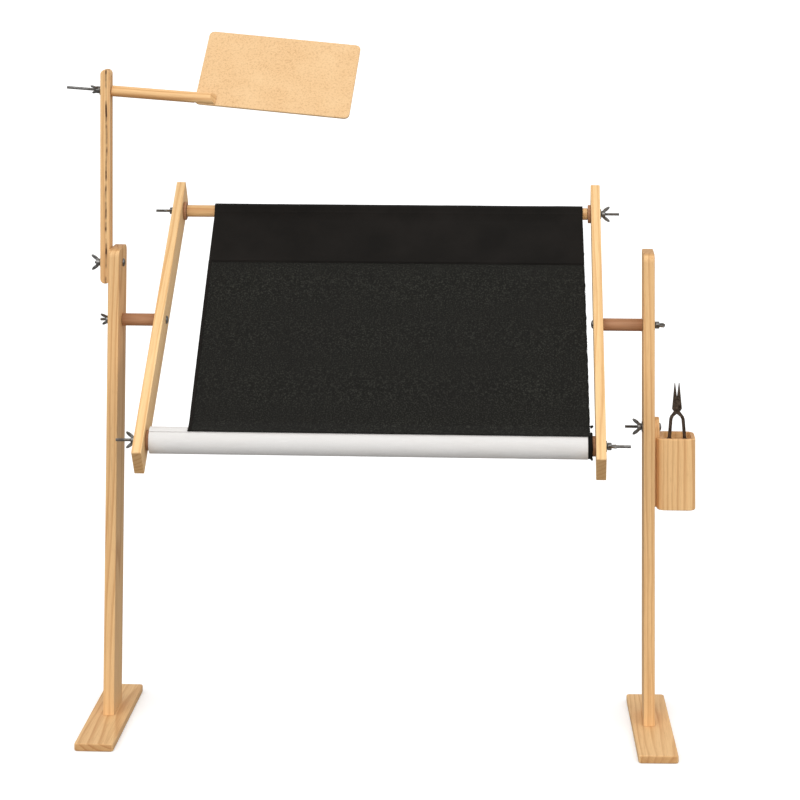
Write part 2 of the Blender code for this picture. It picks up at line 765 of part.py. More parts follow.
def add_chart_board(holder):
    """A thin board with rounded corners, screwed behind the arm's free end."""
    front = CHART_SEAT + GAP
    low = -CHART_ARM_R
    outline = rounded_rectangle(
        0.0, BOARD_W, low, low + BOARD_H, BOARD_CORNER, BOARD_CORNER, 5
    )
    # In the board's own space local X is its thickness and local Y runs along the arm.
    sheet = moved(slab(outline, BOARD_T), rotation=turn("X", -BOARD_TURN))
    board = make("chart_board", sheet, "hardboard")
    sand_edges(board, BOARD_EDGE, 1)
    holes = [
        moved(rod(BOARD_SCREW_HOLE_R, -SPARE, SPARE, 12), (0.0, x - BOARD_START, 0.0))
        for x in BOARD_SCREWS
    ]
    combine(board, holes, "DIFFERENCE")
    across = turn("Z", -math.pi / 2)
    place(board, (BOARD_START, front + BOARD_T / 2, 0.0), across, holder)
    head_y = front + BOARD_T + GAP + BOARD_SCREW_HEAD_H
    for i, x in enumerate(BOARD_SCREWS, 1):
        screw = wood_screw(
            BOARD_SCREW_HEAD_R, BOARD_SCREW_HEAD_H, BOARD_SCREW_R, BOARD_SCREW_L, countersunk=False
        )
        obj = make(f"chart_board_screw_{i}", screw, "zinc")
        smooth(obj)
        place(obj, (x, head_y, 0.0), across, holder)


def add_chart_holder(nut_mesh):
    """The arm on its rod through the slot, with the board; everything hangs by the sag angle."""
    sag = turn("Y", CHART_ARM_SAG)
    axis = empty("chart_arm_axis", (slat_middle(), 0.0, CHART_ARM_Z), sag)
    holder = empty("chart_holder_lean", (0.0, 0.0, 0.0), turn("X", -CHART_LEAN), axis)
    half = UPRIGHT_T / 2 / math.cos(CHART_ARM_SAG)
    arm_play = CHART_ARM_R * math.tan(CHART_ARM_SAG) + GAP
    start = half + arm_play
    add_chart_arm(start, holder)
    rod_piece = rod(THREAD_R, -CHART_ROD_OUT, start + CHART_ROD_IN, 16, FINE_CHAMFER)
    obj = make("chart_arm_rod", rod_piece, "zinc")
    smooth(obj)
    place(obj, parent=holder)
    washer_play = WASHER_R * math.tan(CHART_ARM_SAG) + GAP
    washer_x = half + washer_play + WASHER_T / 2
    add_washer("chart_arm_washer", (-washer_x, 0.0, 0.0), axis)
    nut_x = washer_x + WASHER_T / 2 + GAP
    add_wing_nut("chart_arm_wing_nut", nut_mesh, (-nut_x, 0.0, 0.0), -1, axis)
    add_chart_board(holder)


# Tool box -----------------------------------------------------------------------------------------


def add_box_plate(inner, clamp):
    """The tab with a round top that the clamp bolt holds against the right post."""
    half = BOX_PLATE_W / 2
    low = BOX_BOTTOM + BOX_PLATE_UP - BOX_CLAMP_Z
    outline = rounded_rectangle(-half, half, low, half, 0.0, 0.99 * half, 8)
    plate = make("tool_box_plate", slab(outline, BOX_PLATE_T), "pine")
    sand_edges(plate, BOX_PLATE_EDGE, 1)
    combine(plate, [rod(HOLE_R, -BOX_PLATE_T, BOX_PLATE_T)], "DIFFERENCE")
    place(plate, (inner + BOX_PLATE_T / 2, 0.0, 0.0), None, clamp)


def add_box_body(inner, clamp):
    """A block with rounded upright corners, a pocket in its top and a rebate for the plate."""
    width = BOX_RIGHT - inner - BOX_OFF_POST
    half_w = width / 2
    half_d = BOX_DEPTH / 2
    outline = rounded_rectangle(-half_d, half_d, -half_w, half_w, BOX_CORNER, BOX_CORNER, 4)
    height = BOX_TOP - BOX_BOTTOM
    body = make("tool_box", slab(outline, height), "pine")
    sand_edges(body, SLIM_EDGE, 1)
    middle_x = BOX_RIGHT - half_w
    middle_z = (BOX_TOP + BOX_BOTTOM) / 2
    # Local X is up and local Z is towards -X here.
    pocket_half = (POCKET_RIGHT - POCKET_LEFT) / 2
    pocket = rounded_rectangle(
        -POCKET_DEPTH / 2,
        POCKET_DEPTH / 2,
        -pocket_half,
        pocket_half,
        POCKET_CORNER,
        POCKET_CORNER,
        4,
    )
    pocket_h = BOX_TOP - POCKET_FLOOR + SPARE
    pocket_z = POCKET_FLOOR + pocket_h / 2 - middle_z
    pocket_x = middle_x - (POCKET_LEFT + POCKET_RIGHT) / 2
    cut_pocket = moved(slab(pocket, pocket_h), (pocket_z, 0.0, pocket_x))
    rebate_side = BOX_PLATE_W / 2 + GAP
    rebate_x = middle_x - (inner + BOX_PLATE_T + GAP)
    rebate = block((-height, -rebate_side, rebate_x), (height, rebate_side, half_w + SPARE))
    combine(body, [cut_pocket, rebate], "DIFFERENCE")
    smooth(body, 30.0)
    place(body, (middle_x, 0.0, middle_z - BOX_CLAMP_Z), UP, clamp)


def add_tool_box(nut_mesh):
    inner = post_face(1, BOX_CLAMP_Z, 1) + GAP
    clamp = empty("tool_box_pivot", (0.0, 0.0, BOX_CLAMP_Z))
    add_box_plate(inner, clamp)
    add_box_body(inner, clamp)
    head_x = inner + BOX_PLATE_T + GAP
    add_bolt("tool_box_bolt", (head_x, 0.0, 0.0), head_x - BOX_BOLT_END, -1, clamp)
    face_x = post_face(1, BOX_CLAMP_Z, -1)
    add_washer("tool_box_washer", (face_x - GAP - WASHER_T / 2, 0.0, 0.0), clamp)
    nut_x = face_x - WASHER_T - 2 * GAP
    add_wing_nut("tool_box_wing_nut", nut_mesh, (nut_x, 0.0, 0.0), -1, clamp)


# Scissors -----------------------------------------------------------------------------------------


def smoothstep(t):
    t = min(max(t, 0.0), 1.0)
    return t * t * (3.0 - 2.0 * t)


def scissors_line(t):
    """Centre (x, z) and half width of a closed half, from the blade's tip (0) to the ring (1)."""
    z = BLADE_L + t * (-SHANK_L - BLADE_L)
    if z > 0.0:
        half = BLADE_HALF_W + (BLADE_TIP_HALF_W - BLADE_HALF_W) * z / BLADE_L
        return (-half * BLADE_OFFSET, z, half)
    bend = smoothstep(-z / SHANK_L * SHANK_BEND)
    start = -BLADE_HALF_W * BLADE_OFFSET
    half = BLADE_HALF_W + (SHANK_HALF_W - BLADE_HALF_W) * bend
    return (start + (RING_X - start) * bend, z, half)


def scissors_half(mirror):
    """Blade and shank as one plate, joined to an oval finger ring."""
    steps = 20
    line = [scissors_line(i / steps) for i in range(steps + 1)]
    right = [(x + half, z) for x, z, half in line]
    left = [(x - half, z) for x, z, half in line]
    outline = [(mirror * x, z) for x, z in right + left[::-1]]
    # The slab's plane is local YZ, so a quarter turn puts it in the XZ plane.
    plane = turn("Z", -math.pi / 2)
    half = make("scissors_half", moved(slab(outline, BLADE_T), rotation=plane))
    centre = (mirror * RING_X, RING_Z)
    ring = slab(ellipse(RING_HALF_W, RING_HALF_H, 18, centre), RING_T)
    inner_w = RING_HALF_W - RING_WIRE
    inner_h = RING_HALF_H - RING_WIRE
    hollow = slab(ellipse(inner_w, inner_h, 18, centre), SPARE)
    combine(half, [moved(ring, rotation=plane)], "UNION")
    hole = moved(rod(SCISSORS_HOLE_R, -SPARE, SPARE, 12), rotation=plane)
    combine(half, [moved(hollow, rotation=plane), hole], "DIFFERENCE")
    mesh = half.data
    bpy.data.objects.remove(half, do_unlink=True)
    return mesh


def add_scissors():
    """Two crossed halves on one screw, standing on their finger rings in the pocket."""
    middle_x = (POCKET_LEFT + POCKET_RIGHT) / 2
    pivot = empty("scissors_pivot", (middle_x, SCISSORS_Y, SCISSORS_PIVOT_Z))
    layer = RING_T / 2 + HALF_PLAY
    for name, mirror, y in (("scissors_front", 1, -layer), ("scissors_back", -1, layer)):
        obj = link(name, scissors_half(mirror))
        add_material(obj, "blade_steel")
        lean = turn("Y", -mirror * SCISSORS_OPEN / 2)
        place(obj, (0.0, y, 0.0), lean, pivot)
    head_y = layer + BLADE_T / 2 + GAP
    end_y = head_y + SCISSORS_HEAD_H
    screw = [
        (-end_y, 0.0),
        (-end_y, SCISSORS_HEAD_R - SCISSORS_HEAD_EDGE),
        (-end_y + SCISSORS_HEAD_EDGE, SCISSORS_HEAD_R),
        (-head_y, SCISSORS_HEAD_R),
        (-head_y, SCISSORS_SCREW_R),
        (end_y, SCISSORS_SCREW_R),
        (end_y, 0.0),
    ]
    obj = make("scissors_screw", turned(screw, 12), "blade_steel")
    smooth(obj)
    place(obj, (0.0, 0.0, 0.0), turn("Z", math.pi / 2), pivot)


def main():
    clear_scene()
    nut_mesh = wing_nut_mesh()
    add_stand()
    add_scroll_frame(nut_mesh)
    add_chart_clamp(nut_mesh)
    add_chart_holder(nut_mesh)
    add_tool_box(nut_mesh)
    add_scissors()
    bpy.context.view_layer.update()


main()
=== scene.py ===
"""Looks of the tapestry scroll frame: wood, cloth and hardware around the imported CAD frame.

Metres, +Z up, in the CAD's own frame. The boards and the scissors keep the CAD's shapes; each board
gets a grain of its own and the scissors get softer edges. The cloth, the round turned pieces, the
threads and the wing nuts are built again here, in the places that the CAD nodes hold.
"""

import json
import math
import random

import bmesh
import bpy
import numpy as np
from mathutils import Matrix, Vector, noise

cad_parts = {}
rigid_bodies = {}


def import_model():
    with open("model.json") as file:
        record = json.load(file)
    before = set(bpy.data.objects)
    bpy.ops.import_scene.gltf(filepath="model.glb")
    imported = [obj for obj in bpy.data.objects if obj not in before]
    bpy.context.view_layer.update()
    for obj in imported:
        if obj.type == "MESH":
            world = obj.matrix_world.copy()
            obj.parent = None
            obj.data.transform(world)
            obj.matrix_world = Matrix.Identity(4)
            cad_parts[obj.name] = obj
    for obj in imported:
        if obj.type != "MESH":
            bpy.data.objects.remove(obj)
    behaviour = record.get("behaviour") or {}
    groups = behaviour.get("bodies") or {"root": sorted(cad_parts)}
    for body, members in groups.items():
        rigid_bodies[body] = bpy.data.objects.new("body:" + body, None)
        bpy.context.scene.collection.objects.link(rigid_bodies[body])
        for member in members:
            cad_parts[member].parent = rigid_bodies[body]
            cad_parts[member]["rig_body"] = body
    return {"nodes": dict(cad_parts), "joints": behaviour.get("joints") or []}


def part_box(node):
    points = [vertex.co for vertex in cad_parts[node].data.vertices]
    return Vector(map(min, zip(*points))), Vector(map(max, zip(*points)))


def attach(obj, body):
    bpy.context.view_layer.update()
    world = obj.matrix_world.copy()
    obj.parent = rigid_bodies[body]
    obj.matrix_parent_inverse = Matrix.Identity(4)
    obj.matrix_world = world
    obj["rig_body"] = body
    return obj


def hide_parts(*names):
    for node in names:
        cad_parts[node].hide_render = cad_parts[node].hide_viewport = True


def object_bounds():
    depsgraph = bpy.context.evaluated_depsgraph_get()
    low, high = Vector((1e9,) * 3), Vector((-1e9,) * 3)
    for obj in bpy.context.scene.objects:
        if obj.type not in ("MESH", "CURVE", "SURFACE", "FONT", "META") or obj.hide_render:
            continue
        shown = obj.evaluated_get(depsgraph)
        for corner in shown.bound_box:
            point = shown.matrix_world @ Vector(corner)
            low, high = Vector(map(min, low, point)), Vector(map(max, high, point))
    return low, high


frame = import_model()
CAD_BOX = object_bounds()

# Sizes --------------------------------------------------------------------------------------------

X_AXIS = Vector((1.0, 0.0, 0.0))
Y_AXIS = Vector((0.0, 1.0, 0.0))
Z_AXIS = Vector((0.0, 0.0, 1.0))

CAMERA_AT = (0.268, -3.925, 1.360)
CAMERA_YAW = math.radians(3.4)
CAMERA_LENS = 109.15  # mm, on a 36 mm sensor
CAMERA_SHIFT = -0.6477  # of the lens, which keeps the posts parallel in the picture
SHIFT_FADE = 0.05  # the camera's way from its place over which the shift fades out

SKY_LIGHT = (0.75, 0.75, 0.75)
FLOOR_BOUNCE = (0.36, 0.36, 0.36)  # what the floor gives back to the object's undersides
FLOOR_GLOW = 0.24  # lifts the floor to white in the picture
FLOOR_HALF = 120.0
FLOOR_DROP = 0.0002  # below the feet
SOFTBOXES = {  # the way each one shines, and its strength
    "left_softbox": ((0.45, 0.95, -0.70), 1.10),
    "right_softbox": ((-0.55, 0.90, -0.70), 0.80),
}
SOFTBOX_ANGLE = math.radians(50.0)

FINE_SIDES = 64  # round wooden pieces and washers
WASHER_EDGE = 0.0004
THREAD_R = 0.00248
THREAD_PITCH = 0.001
THREAD_DEPTH = 0.0005
THREAD_SIDES = 16
THREAD_ROWS = 4  # rows of points in each turn of a thread
HEAD_SIDES = 32
HEAD_STEPS = 7  # from the top of a bolt's dome to its rim

SHEET_T = 0.0005  # one layer of cloth
BAND_DEPTH = 0.1285  # plain band across the top of the cloth
BAND_T = 0.0004
HEM_W = 0.0050  # turned-in border down the left edge
HEM_T = 0.0006
OVERCAST_PITCH = 0.0026  # of the stitches round the cloth's raw edges
OVERCAST_DEPTH = 0.0005
OVERCAST_IN = 0.0009  # middle of the stitches, in from the edge
OVERCAST_REACH = 0.0013  # either side of that
OVERCAST_FROM = 0.010  # lowest stitch on the sides, clear of the roll's edge
SEWING_R = 0.00028  # sewing thread
SEAM_STITCH = 0.0034
TOP_FOLD = 0.012  # fold line below the top edge of the band
KNOT_ALONG = 0.022  # knot up from the bottom right corner
KNOT_RIGHT = 0.0025  # its middle, past the cloth's edge
KNOT_OUT = 0.0016
KNOT_SCALE = 0.0008
KNOT_THREAD_R = 0.0008
LOOSE_THREADS = 9
LOOSE_THREAD_R = 0.00018
SETTLE_FRAMES = 24
MOST_SHIFT = 0.004  # that the settled cloth may be from flat
WEAVE = 0.0018  # one block of the evenweave
COTTON_WEAVE = 0.0007
TWILL = 0.0011  # one rib
RING_WIDTH = 0.0075  # of the wood's growth rings
END_SHADE = 0.75  # brightness of end grain beside that of long grain
ROLL_LAYER = 0.00135  # rolled cloth, from one layer to the next
WRAP_LAYER = 0.00065  # the same, on the top bar
LAYER_FILL = 0.86  # share of a layer that is cloth
LAST_LAYER = 0.9  # share of a layer kept free for the last turn
ROLL_CORE_R = 0.0103  # where the winding starts, just clear of the bar
ROLL_TURN_STEPS = 40
CORD_R = 0.0020  # bulging edge of the roll
CORD_IN = 0.0016  # middle of the cord, in from the outside of the roll

WING_SPLAY = math.radians(38.0)
WING_MIDDLE = (0.0079, 0.0081)  # out from the nut's axis and up from its seat
WING_HALF = (0.0029, 0.0079)
WING_HALF_T = 0.00125
WING_ROUNDING = 0.0009
WING_SIDES = 28
WING_STEPS = 8
NUT_H = 0.0068
NUT_BORE_R = 0.0027
NUT_R = 0.0058
NUT_EDGE = 0.0011
NUT_REACH = 0.0065  # what lies nearer the axis than this is hub


# Places that the CAD gives ------------------------------------------------------------------------


def middle(node):
    low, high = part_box(node)
    return (low + high) / 2


def points_of(node):
    """The corners of a CAD node at rest, as an array."""
    return np.array([v.co for v in frame["nodes"][node].data.vertices])


def joint(name):
    return next(j for j in frame["joints"] if j["name"] == name)


def body_of(node):
    return frame["nodes"][node]["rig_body"]


BAR_LOW = middle("bottom_bar")
BAR_HIGH = middle("top_bar")
ALONG = (BAR_HIGH - BAR_LOW).normalized()  # up the scroll frame
OUT = X_AXIS.cross(ALONG)  # off the face of the cloth, towards the sitter
BAR_SPACING = (BAR_HIGH - BAR_LOW).length
CHART_AXIS = Vector(joint("chart_board_tilt")["axis"]).normalized()


def on_frame(x, along, out):
    """A point from its place across, up and off the scroll frame, measured from the bottom bar."""
    return Vector((x, BAR_LOW.y, BAR_LOW.z)) + ALONG * along + OUT * out


def basis(axis):
    """A 3x3 matrix whose columns are two directions across axis, and axis itself."""
    axis = Vector(axis).normalized()
    helper = Z_AXIS if abs(axis.z) < 0.9 else Y_AXIS
    across = helper.cross(axis).normalized()
    return Matrix((across, axis.cross(across), axis)).transposed()


def about_axis(node, origin, axis):
    """How far along an axis each corner of a node is, and its offset square to the axis."""
    points = points_of(node)
    along = (points - np.array(origin)) @ np.array(axis)
    return along, points - np.array(origin) - np.outer(along, np.array(axis))


def round_size(node, axis):
    """Middle, the two ends along axis, and the inner and outer radius of a round node."""
    centre = middle(node)
    along, radial = about_axis(node, centre, axis)
    reach = np.linalg.norm(radial, axis=1)
    return centre, along.min(), along.max(), reach.min(), reach.max()


# Meshes -------------------------------------------------------------------------------------------


def make_object(name, vertices, faces, smooth_angle=40.0):
    mesh = bpy.data.meshes.new(name)
    mesh.from_pydata([tuple(v) for v in vertices], [], faces)
    mesh.update()
    mesh.shade_smooth()
    mesh.set_sharp_from_angle(angle=math.radians(smooth_angle))
    obj = bpy.data.objects.new(name, mesh)
    bpy.context.scene.collection.objects.link(obj)
    return obj


def fix_normals(obj):
    bm = bmesh.new()
    bm.from_mesh(obj.data)
    bmesh.ops.recalc_face_normals(bm, faces=bm.faces)
    bm.to_mesh(obj.data)
    bm.free()


def skin(rings, closed=False):
    """Quads between neighbouring rings of points, with both ends capped unless the row is closed."""
    rows, sides = len(rings), len(rings[0])
    vertices = np.array(rings).reshape(-1, 3)
    faces = []
    for row in range(rows if closed else rows - 1):
        one = row * sides
        other = (row + 1) % rows * sides
        for i in range(sides):
            j = (i + 1) % sides
            faces.append((one + i, one + j, other + j, other + i))
    if not closed:
        faces.append(tuple(range(sides))[::-1])
        faces.append(tuple((rows - 1) * sides + i for i in range(sides)))
    return vertices, faces


def add_up(parts):
    """Several (vertices, faces) pairs as one."""
    vertices, faces, start = [], [], 0
    for part_vertices, part_faces in parts:
        vertices.append(np.array(part_vertices))
        faces += [tuple(start + i for i in face) for face in part_faces]
        start += len(part_vertices)
    return np.concatenate(vertices), faces


def turned_rings(profile, centre, axis, sides):
    """Rings of a closed (along, radius) profile turned about axis."""
    across, up, direction = (np.array(column) for column in basis(axis).transposed())
    angles = np.arange(sides) * 2 * math.pi / sides
    rings = []
    for along, radius in profile:
        circle = np.outer(np.cos(angles), across) + np.outer(np.sin(angles), up)
        rings.append(np.array(centre) + direction * along + circle * radius)
    return rings


def sweep(path, radius, sides=6, closed=False):
    """A round thread along a path of points."""
    path = [Vector(p) for p in path]
    count = len(path)
    normal = None
    rings = []
    for i, point in enumerate(path):
        before = path[(i - 1) % count] if closed or i > 0 else point
        after = path[(i + 1) % count] if closed or i < count - 1 else point
        forward = (after - before).normalized()
        if normal is None:
            normal = basis(forward).col[0]
        normal = (normal - forward * normal.dot(forward)).normalized()
        side = forward.cross(normal)
        rings.append(
            [
                point + (normal * math.cos(a) + side * math.sin(a)) * radius
                for a in (2 * math.pi * k / sides for k in range(sides))
            ]
        )
    return skin(rings, closed)


def fillet(centre, radius, first, last, steps=3):
    """Points of a small arc round a centre, from one angle in degrees to another."""
    u, v = centre
    points = []
    for i in range(steps + 1):
        angle = math.radians(first + (last - first) * i / steps)
        points.append((u + radius * math.cos(angle), v + radius * math.sin(angle)))
    return points


def ring_profile(low, high, inner, outer, edge):
    """Closed (along, radius) outline of a ring with rounded outer edges."""
    return (
        [(low, inner)]
        + fillet((low + edge, outer - edge), edge, 180.0, 90.0)
        + fillet((high - edge, outer - edge), edge, 90.0, 0.0)
        + [(high, inner)]
    )


def finish_piece(obj, material, slot, body, *replaced):
    obj.data.materials.append(material)
    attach(obj, body)
    if replaced:
        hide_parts(*replaced)


def add_solid(name, shape, material, slot, body, *replaced, smooth_angle=40.0):
    """A closed piece from its (vertices, faces), with its faces turned outwards."""
    obj = make_object(name, *shape, smooth_angle)
    fix_normals(obj)
    finish_piece(obj, material, slot, body, *replaced)


def add_sewing(name, shape, material):
    """A closed piece of black thread on the stretched cloth."""
    add_solid(name, shape, material, "black_cloth", "scroll_frame")


# Materials ----------------------------------------------------------------------------------------


def add_node(tree, kind, sockets=None, **settings):
    """A shader node; each socket takes a value or another node's output."""
    made = tree.nodes.new("ShaderNode" + kind)
    for key, value in settings.items():
        setattr(made, key, value)
    for key, value in (sockets or {}).items():
        if isinstance(value, bpy.types.NodeSocket):
            tree.links.new(value, made.inputs[key])
        else:
            made.inputs[key].default_value = value
    return made


def maths(tree, operation, first, second=0.0):
    return add_node(tree, "Math", {0: first, 1: second}, operation=operation).outputs[0]


def vector_maths(tree, operation, first, second, output="Vector"):
    made = add_node(tree, "VectorMath", {0: first, 1: second}, operation=operation)
    return made.outputs[output]


def ramp(tree, value, stops):
    """A value mapped through grey stops of (position, brightness)."""
    made = add_node(tree, "ValToRGB", {"Fac": value})
    elements = made.color_ramp.elements
    while len(elements) < len(stops):
        elements.new(0.5)
    for element, (position, brightness) in zip(elements, stops):
        element.position = position
        element.color = (brightness, brightness, brightness, 1.0)
    return made.outputs["Color"]


def mix(tree, share, first, second, mode="MIX"):
    """Two colours mixed by share."""
    made = tree.nodes.new("ShaderNodeMix")
    made.data_type = "RGBA"
    made.blend_type = mode
    for index, value in ((0, share), (6, first), (7, second)):
        if isinstance(value, bpy.types.NodeSocket):
            tree.links.new(value, made.inputs[index])
        else:
            made.inputs[index].default_value = value if index == 0 else (*value, 1.0)
    return made.outputs[2]


def speckle(tree, place, scale, detail=3.0, roughness=0.5):
    sockets = {"Vector": place, "Scale": scale, "Detail": detail, "Roughness": roughness}
    return add_node(tree, "TexNoise", sockets).outputs["Fac"]


def stretched(tree, place, scale):
    """Texture coordinates with their own scale on each axis."""
    return add_node(tree, "Mapping", {"Vector": place, "Scale": scale}).outputs["Vector"]


def blank_material(name):
    material = bpy.data.materials.new(name)
    material.use_nodes = True
    tree = material.node_tree
    return material, tree, tree.nodes["Principled BSDF"]


def set_surface(tree, shader, colour, roughness, height, depth, strength=1.0):
    tree.links.new(colour, shader.inputs["Base Color"])
    tree.links.new(roughness, shader.inputs["Roughness"])
    bump = add_node(tree, "Bump", {"Height": height, "Distance": depth, "Strength": strength})
    tree.links.new(bump.outputs["Normal"], shader.inputs["Normal"])


def turned_place(tree, axis, offset):
    """Object coordinates turned so that axis is Z, and moved by offset."""
    to_z = Vector(axis).rotation_difference(Z_AXIS).to_euler()
    place = add_node(tree, "TexCoord").outputs["Object"]
    return add_node(
        tree, "Mapping", {"Vector": place, "Rotation": to_z, "Location": offset}
    ).outputs["Vector"]


# Early wood, late wood and the deepest streak of each kind.
WOOD_TONES = {
    "pine": ((0.87, 0.56, 0.265), (0.60, 0.285, 0.10), (0.34, 0.135, 0.042)),
    "pale_pine": ((0.90, 0.62, 0.31), (0.68, 0.365, 0.135), (0.44, 0.20, 0.062)),
    # The third kind is the same pine painted darker: painted shade for the spacers and flanges,
    # which sit between other parts.
    "brown_pine": ((0.46, 0.24, 0.125), (0.34, 0.155, 0.07), (0.21, 0.09, 0.036)),
}


def painted_slot_shade(tree, colour, slot_shade_x):
    """Painted shade of the slot: a broken dark line that wanders down the front edge of a slat,
    about the x it is given.
    """
    place = add_node(tree, "TexCoord").outputs["Object"]
    parts = add_node(tree, "SeparateXYZ", {0: place})
    down = stretched(tree, place, (0.0, 0.0, 1.0))
    wander = maths(tree, "MULTIPLY", maths(tree, "SUBTRACT", speckle(tree, down, 9.0), 0.5), 0.007)
    off = maths(tree, "SUBTRACT", parts.outputs["X"], slot_shade_x)
    off = maths(tree, "ABSOLUTE", maths(tree, "SUBTRACT", off, wander))
    line = ramp(tree, maths(tree, "MULTIPLY", off, 400.0), [(0.42, 1.0), (0.80, 0.0)])
    broken = ramp(tree, speckle(tree, down, 24.0), [(0.44, 0.12), (0.56, 1.0)])
    normal = add_node(tree, "SeparateXYZ", {0: add_node(tree, "TexCoord").outputs["Normal"]})
    front = ramp(tree, maths(tree, "MULTIPLY", normal.outputs["Y"], -1.0), [(0.5, 0.0), (0.9, 1.0)])
    share = maths(tree, "MULTIPLY", maths(tree, "MULTIPLY", line, broken), front)
    return mix(tree, share, colour, (0.075, 0.026, 0.007))


def end_grain(tree, colour, axis):
    """Darkens the faces that the grain runs out of."""
    normal = add_node(tree, "TexCoord").outputs["Normal"]
    facing = vector_maths(tree, "DOT_PRODUCT", normal, tuple(axis), "Value")
    end = ramp(tree, maths(tree, "ABSOLUTE", facing), [(0.75, 0.0), (0.92, 1.0)])
    shade = tuple(END_SHADE * c for c in (1.0, 0.90, 0.80))
    return mix(tree, end, colour, mix(tree, 1.0, colour, shade, "MULTIPLY"))


def worn_edges(tree, colour, early):
    """Lightens the edges where hands and sandpaper have been."""
    soft = add_node(tree, "Bevel", {"Radius": 0.0025}, samples=4).outputs["Normal"]
    flat = add_node(tree, "NewGeometry").outputs["Normal"]
    edge = vector_maths(tree, "DOT_PRODUCT", soft, flat, "Value")
    worn = ramp(tree, edge, [(0.80, 0.30), (0.985, 0.0)])
    return mix(tree, worn, colour, tuple(min(1.0, c * 1.12) for c in early))


def wood(name, axis, offset, tones, slot_shade_x=None):
    """Sawn and sanded wood with its growth rings round a pith outside the board.

    tones are early wood, late wood and the deepest streak.
    """
    material, tree, shader = blank_material(name)
    place = turned_place(tree, axis, offset)
    wander = speckle(tree, stretched(tree, place, (9.0, 9.0, 1.6)), 1.0, 2.0)
    distance = vector_maths(tree, "MULTIPLY", place, (1.0, 1.0, 0.02))
    distance = vector_maths(tree, "LENGTH", distance, (0.0, 0.0, 0.0), "Value")
    bent = maths(tree, "MULTIPLY", wander, 0.045)
    turns = maths(tree, "MULTIPLY", maths(tree, "ADD", distance, bent), 1 / RING_WIDTH)
    rings = ramp(
        tree, maths(tree, "FRACT", turns), [(0.0, 0.10), (0.55, 0.25), (0.86, 0.95), (1.0, 0.10)]
    )
    fibre = speckle(tree, stretched(tree, place, (950.0, 950.0, 22.0)), 1.0, 3.0, 0.6)
    streak = speckle(tree, stretched(tree, place, (120.0, 120.0, 3.0)), 1.0, 2.0)
    pores = speckle(tree, stretched(tree, place, (2300.0, 2300.0, 70.0)), 1.0, 1.0)
    patch = speckle(tree, stretched(tree, place, (14.0, 14.0, 5.0)), 1.0, 2.0)

    early, late, deep = tones
    share = maths(tree, "MULTIPLY", rings, ramp(tree, patch, [(0.3, 0.50), (0.7, 1.0)]))
    colour = mix(tree, share, early, late)
    colour = mix(tree, ramp(tree, streak, [(0.52, 0.0), (0.80, 0.45)]), colour, late)
    colour = mix(tree, ramp(tree, fibre, [(0.50, 0.0), (0.85, 0.40)]), colour, deep)
    colour = mix(tree, ramp(tree, pores, [(0.66, 0.0), (0.74, 0.30)]), colour, deep)

    colour = end_grain(tree, colour, axis)
    # Painted shade: a broken dark line down the front of the chart upright, where its slot lies in
    # shadow.
    if slot_shade_x is not None:
        colour = painted_slot_shade(tree, colour, slot_shade_x)
    colour = worn_edges(tree, colour, early)

    roughness = ramp(tree, fibre, [(0.25, 0.50), (0.75, 0.68)])
    height = maths(tree, "ADD", maths(tree, "MULTIPLY", rings, -0.35), fibre)
    height = maths(tree, "SUBTRACT", height, maths(tree, "MULTIPLY", pores, 0.5))
    set_surface(tree, shader, colour, roughness, height, 0.00018, 0.6)
    shader.inputs["Specular IOR Level"].default_value = 0.35
    return material


def hardboard():
    """Pressed fibre board: short fibres in every direction."""
    material, tree, shader = blank_material("pressed_board")
    place = add_node(tree, "TexCoord").outputs["Object"]
    fine = speckle(tree, place, 1500.0, 3.0)
    flakes = add_node(tree, "TexVoronoi", {"Vector": place, "Scale": 420.0}).outputs["Distance"]
    clumps = speckle(tree, place, 330.0, 3.0, 0.65)
    broad = speckle(tree, place, 22.0, 3.0)
    grain = ramp(tree, fine, [(0.35, 0.0), (0.75, 0.8)])
    colour = mix(tree, grain, (0.81, 0.54, 0.28), (0.64, 0.37, 0.16))
    colour = mix(tree, ramp(tree, flakes, [(0.0, 0.22), (0.45, 0.0)]), colour, (0.56, 0.31, 0.13))
    colour = mix(tree, ramp(tree, clumps, [(0.50, 0.0), (0.66, 0.80)]), colour, (0.56, 0.32, 0.14))
    colour = mix(tree, ramp(tree, broad, [(0.4, 0.0), (0.75, 0.35)]), colour, (0.86, 0.61, 0.34))
    roughness = ramp(tree, fine, [(0.3, 0.55), (0.7, 0.75)])
    set_surface(tree, shader, colour, roughness, maths(tree, "ADD", fine, flakes), 0.00012, 0.5)
    return material


def zinc():
    """Bright zinc plate, duller in patches; its dark, patchy colour is painted reflection of dark
    surroundings.
    """
    material, tree, shader = blank_material("zinc_plate")
    place = add_node(tree, "TexCoord").outputs["Object"]
    mottle = speckle(tree, place, 380.0, 4.0, 0.6)
    painted_dark_reflection = speckle(tree, place, 90.0, 3.0)
    scratches = speckle(tree, stretched(tree, place, (3500.0, 300.0, 300.0)), 1.0, 2.0)
    # Painted reflection: the dark base colour and its darker patches stand in for dark surroundings
    # mirrored in the metal.
    colour = mix(tree, mottle, (0.15, 0.15, 0.155), (0.34, 0.33, 0.31))
    colour = mix(tree, ramp(tree, painted_dark_reflection, [(0.42, 0.0), (0.72, 0.8)]), colour, (0.085, 0.075, 0.06))
    roughness = ramp(tree, mottle, [(0.3, 0.24), (0.75, 0.46)])
    height = maths(tree, "ADD", mottle, maths(tree, "MULTIPLY", scratches, 0.4))
    set_surface(tree, shader, colour, roughness, height, 0.00008, 0.5)
    shader.inputs["Metallic"].default_value = 1.0
    return material


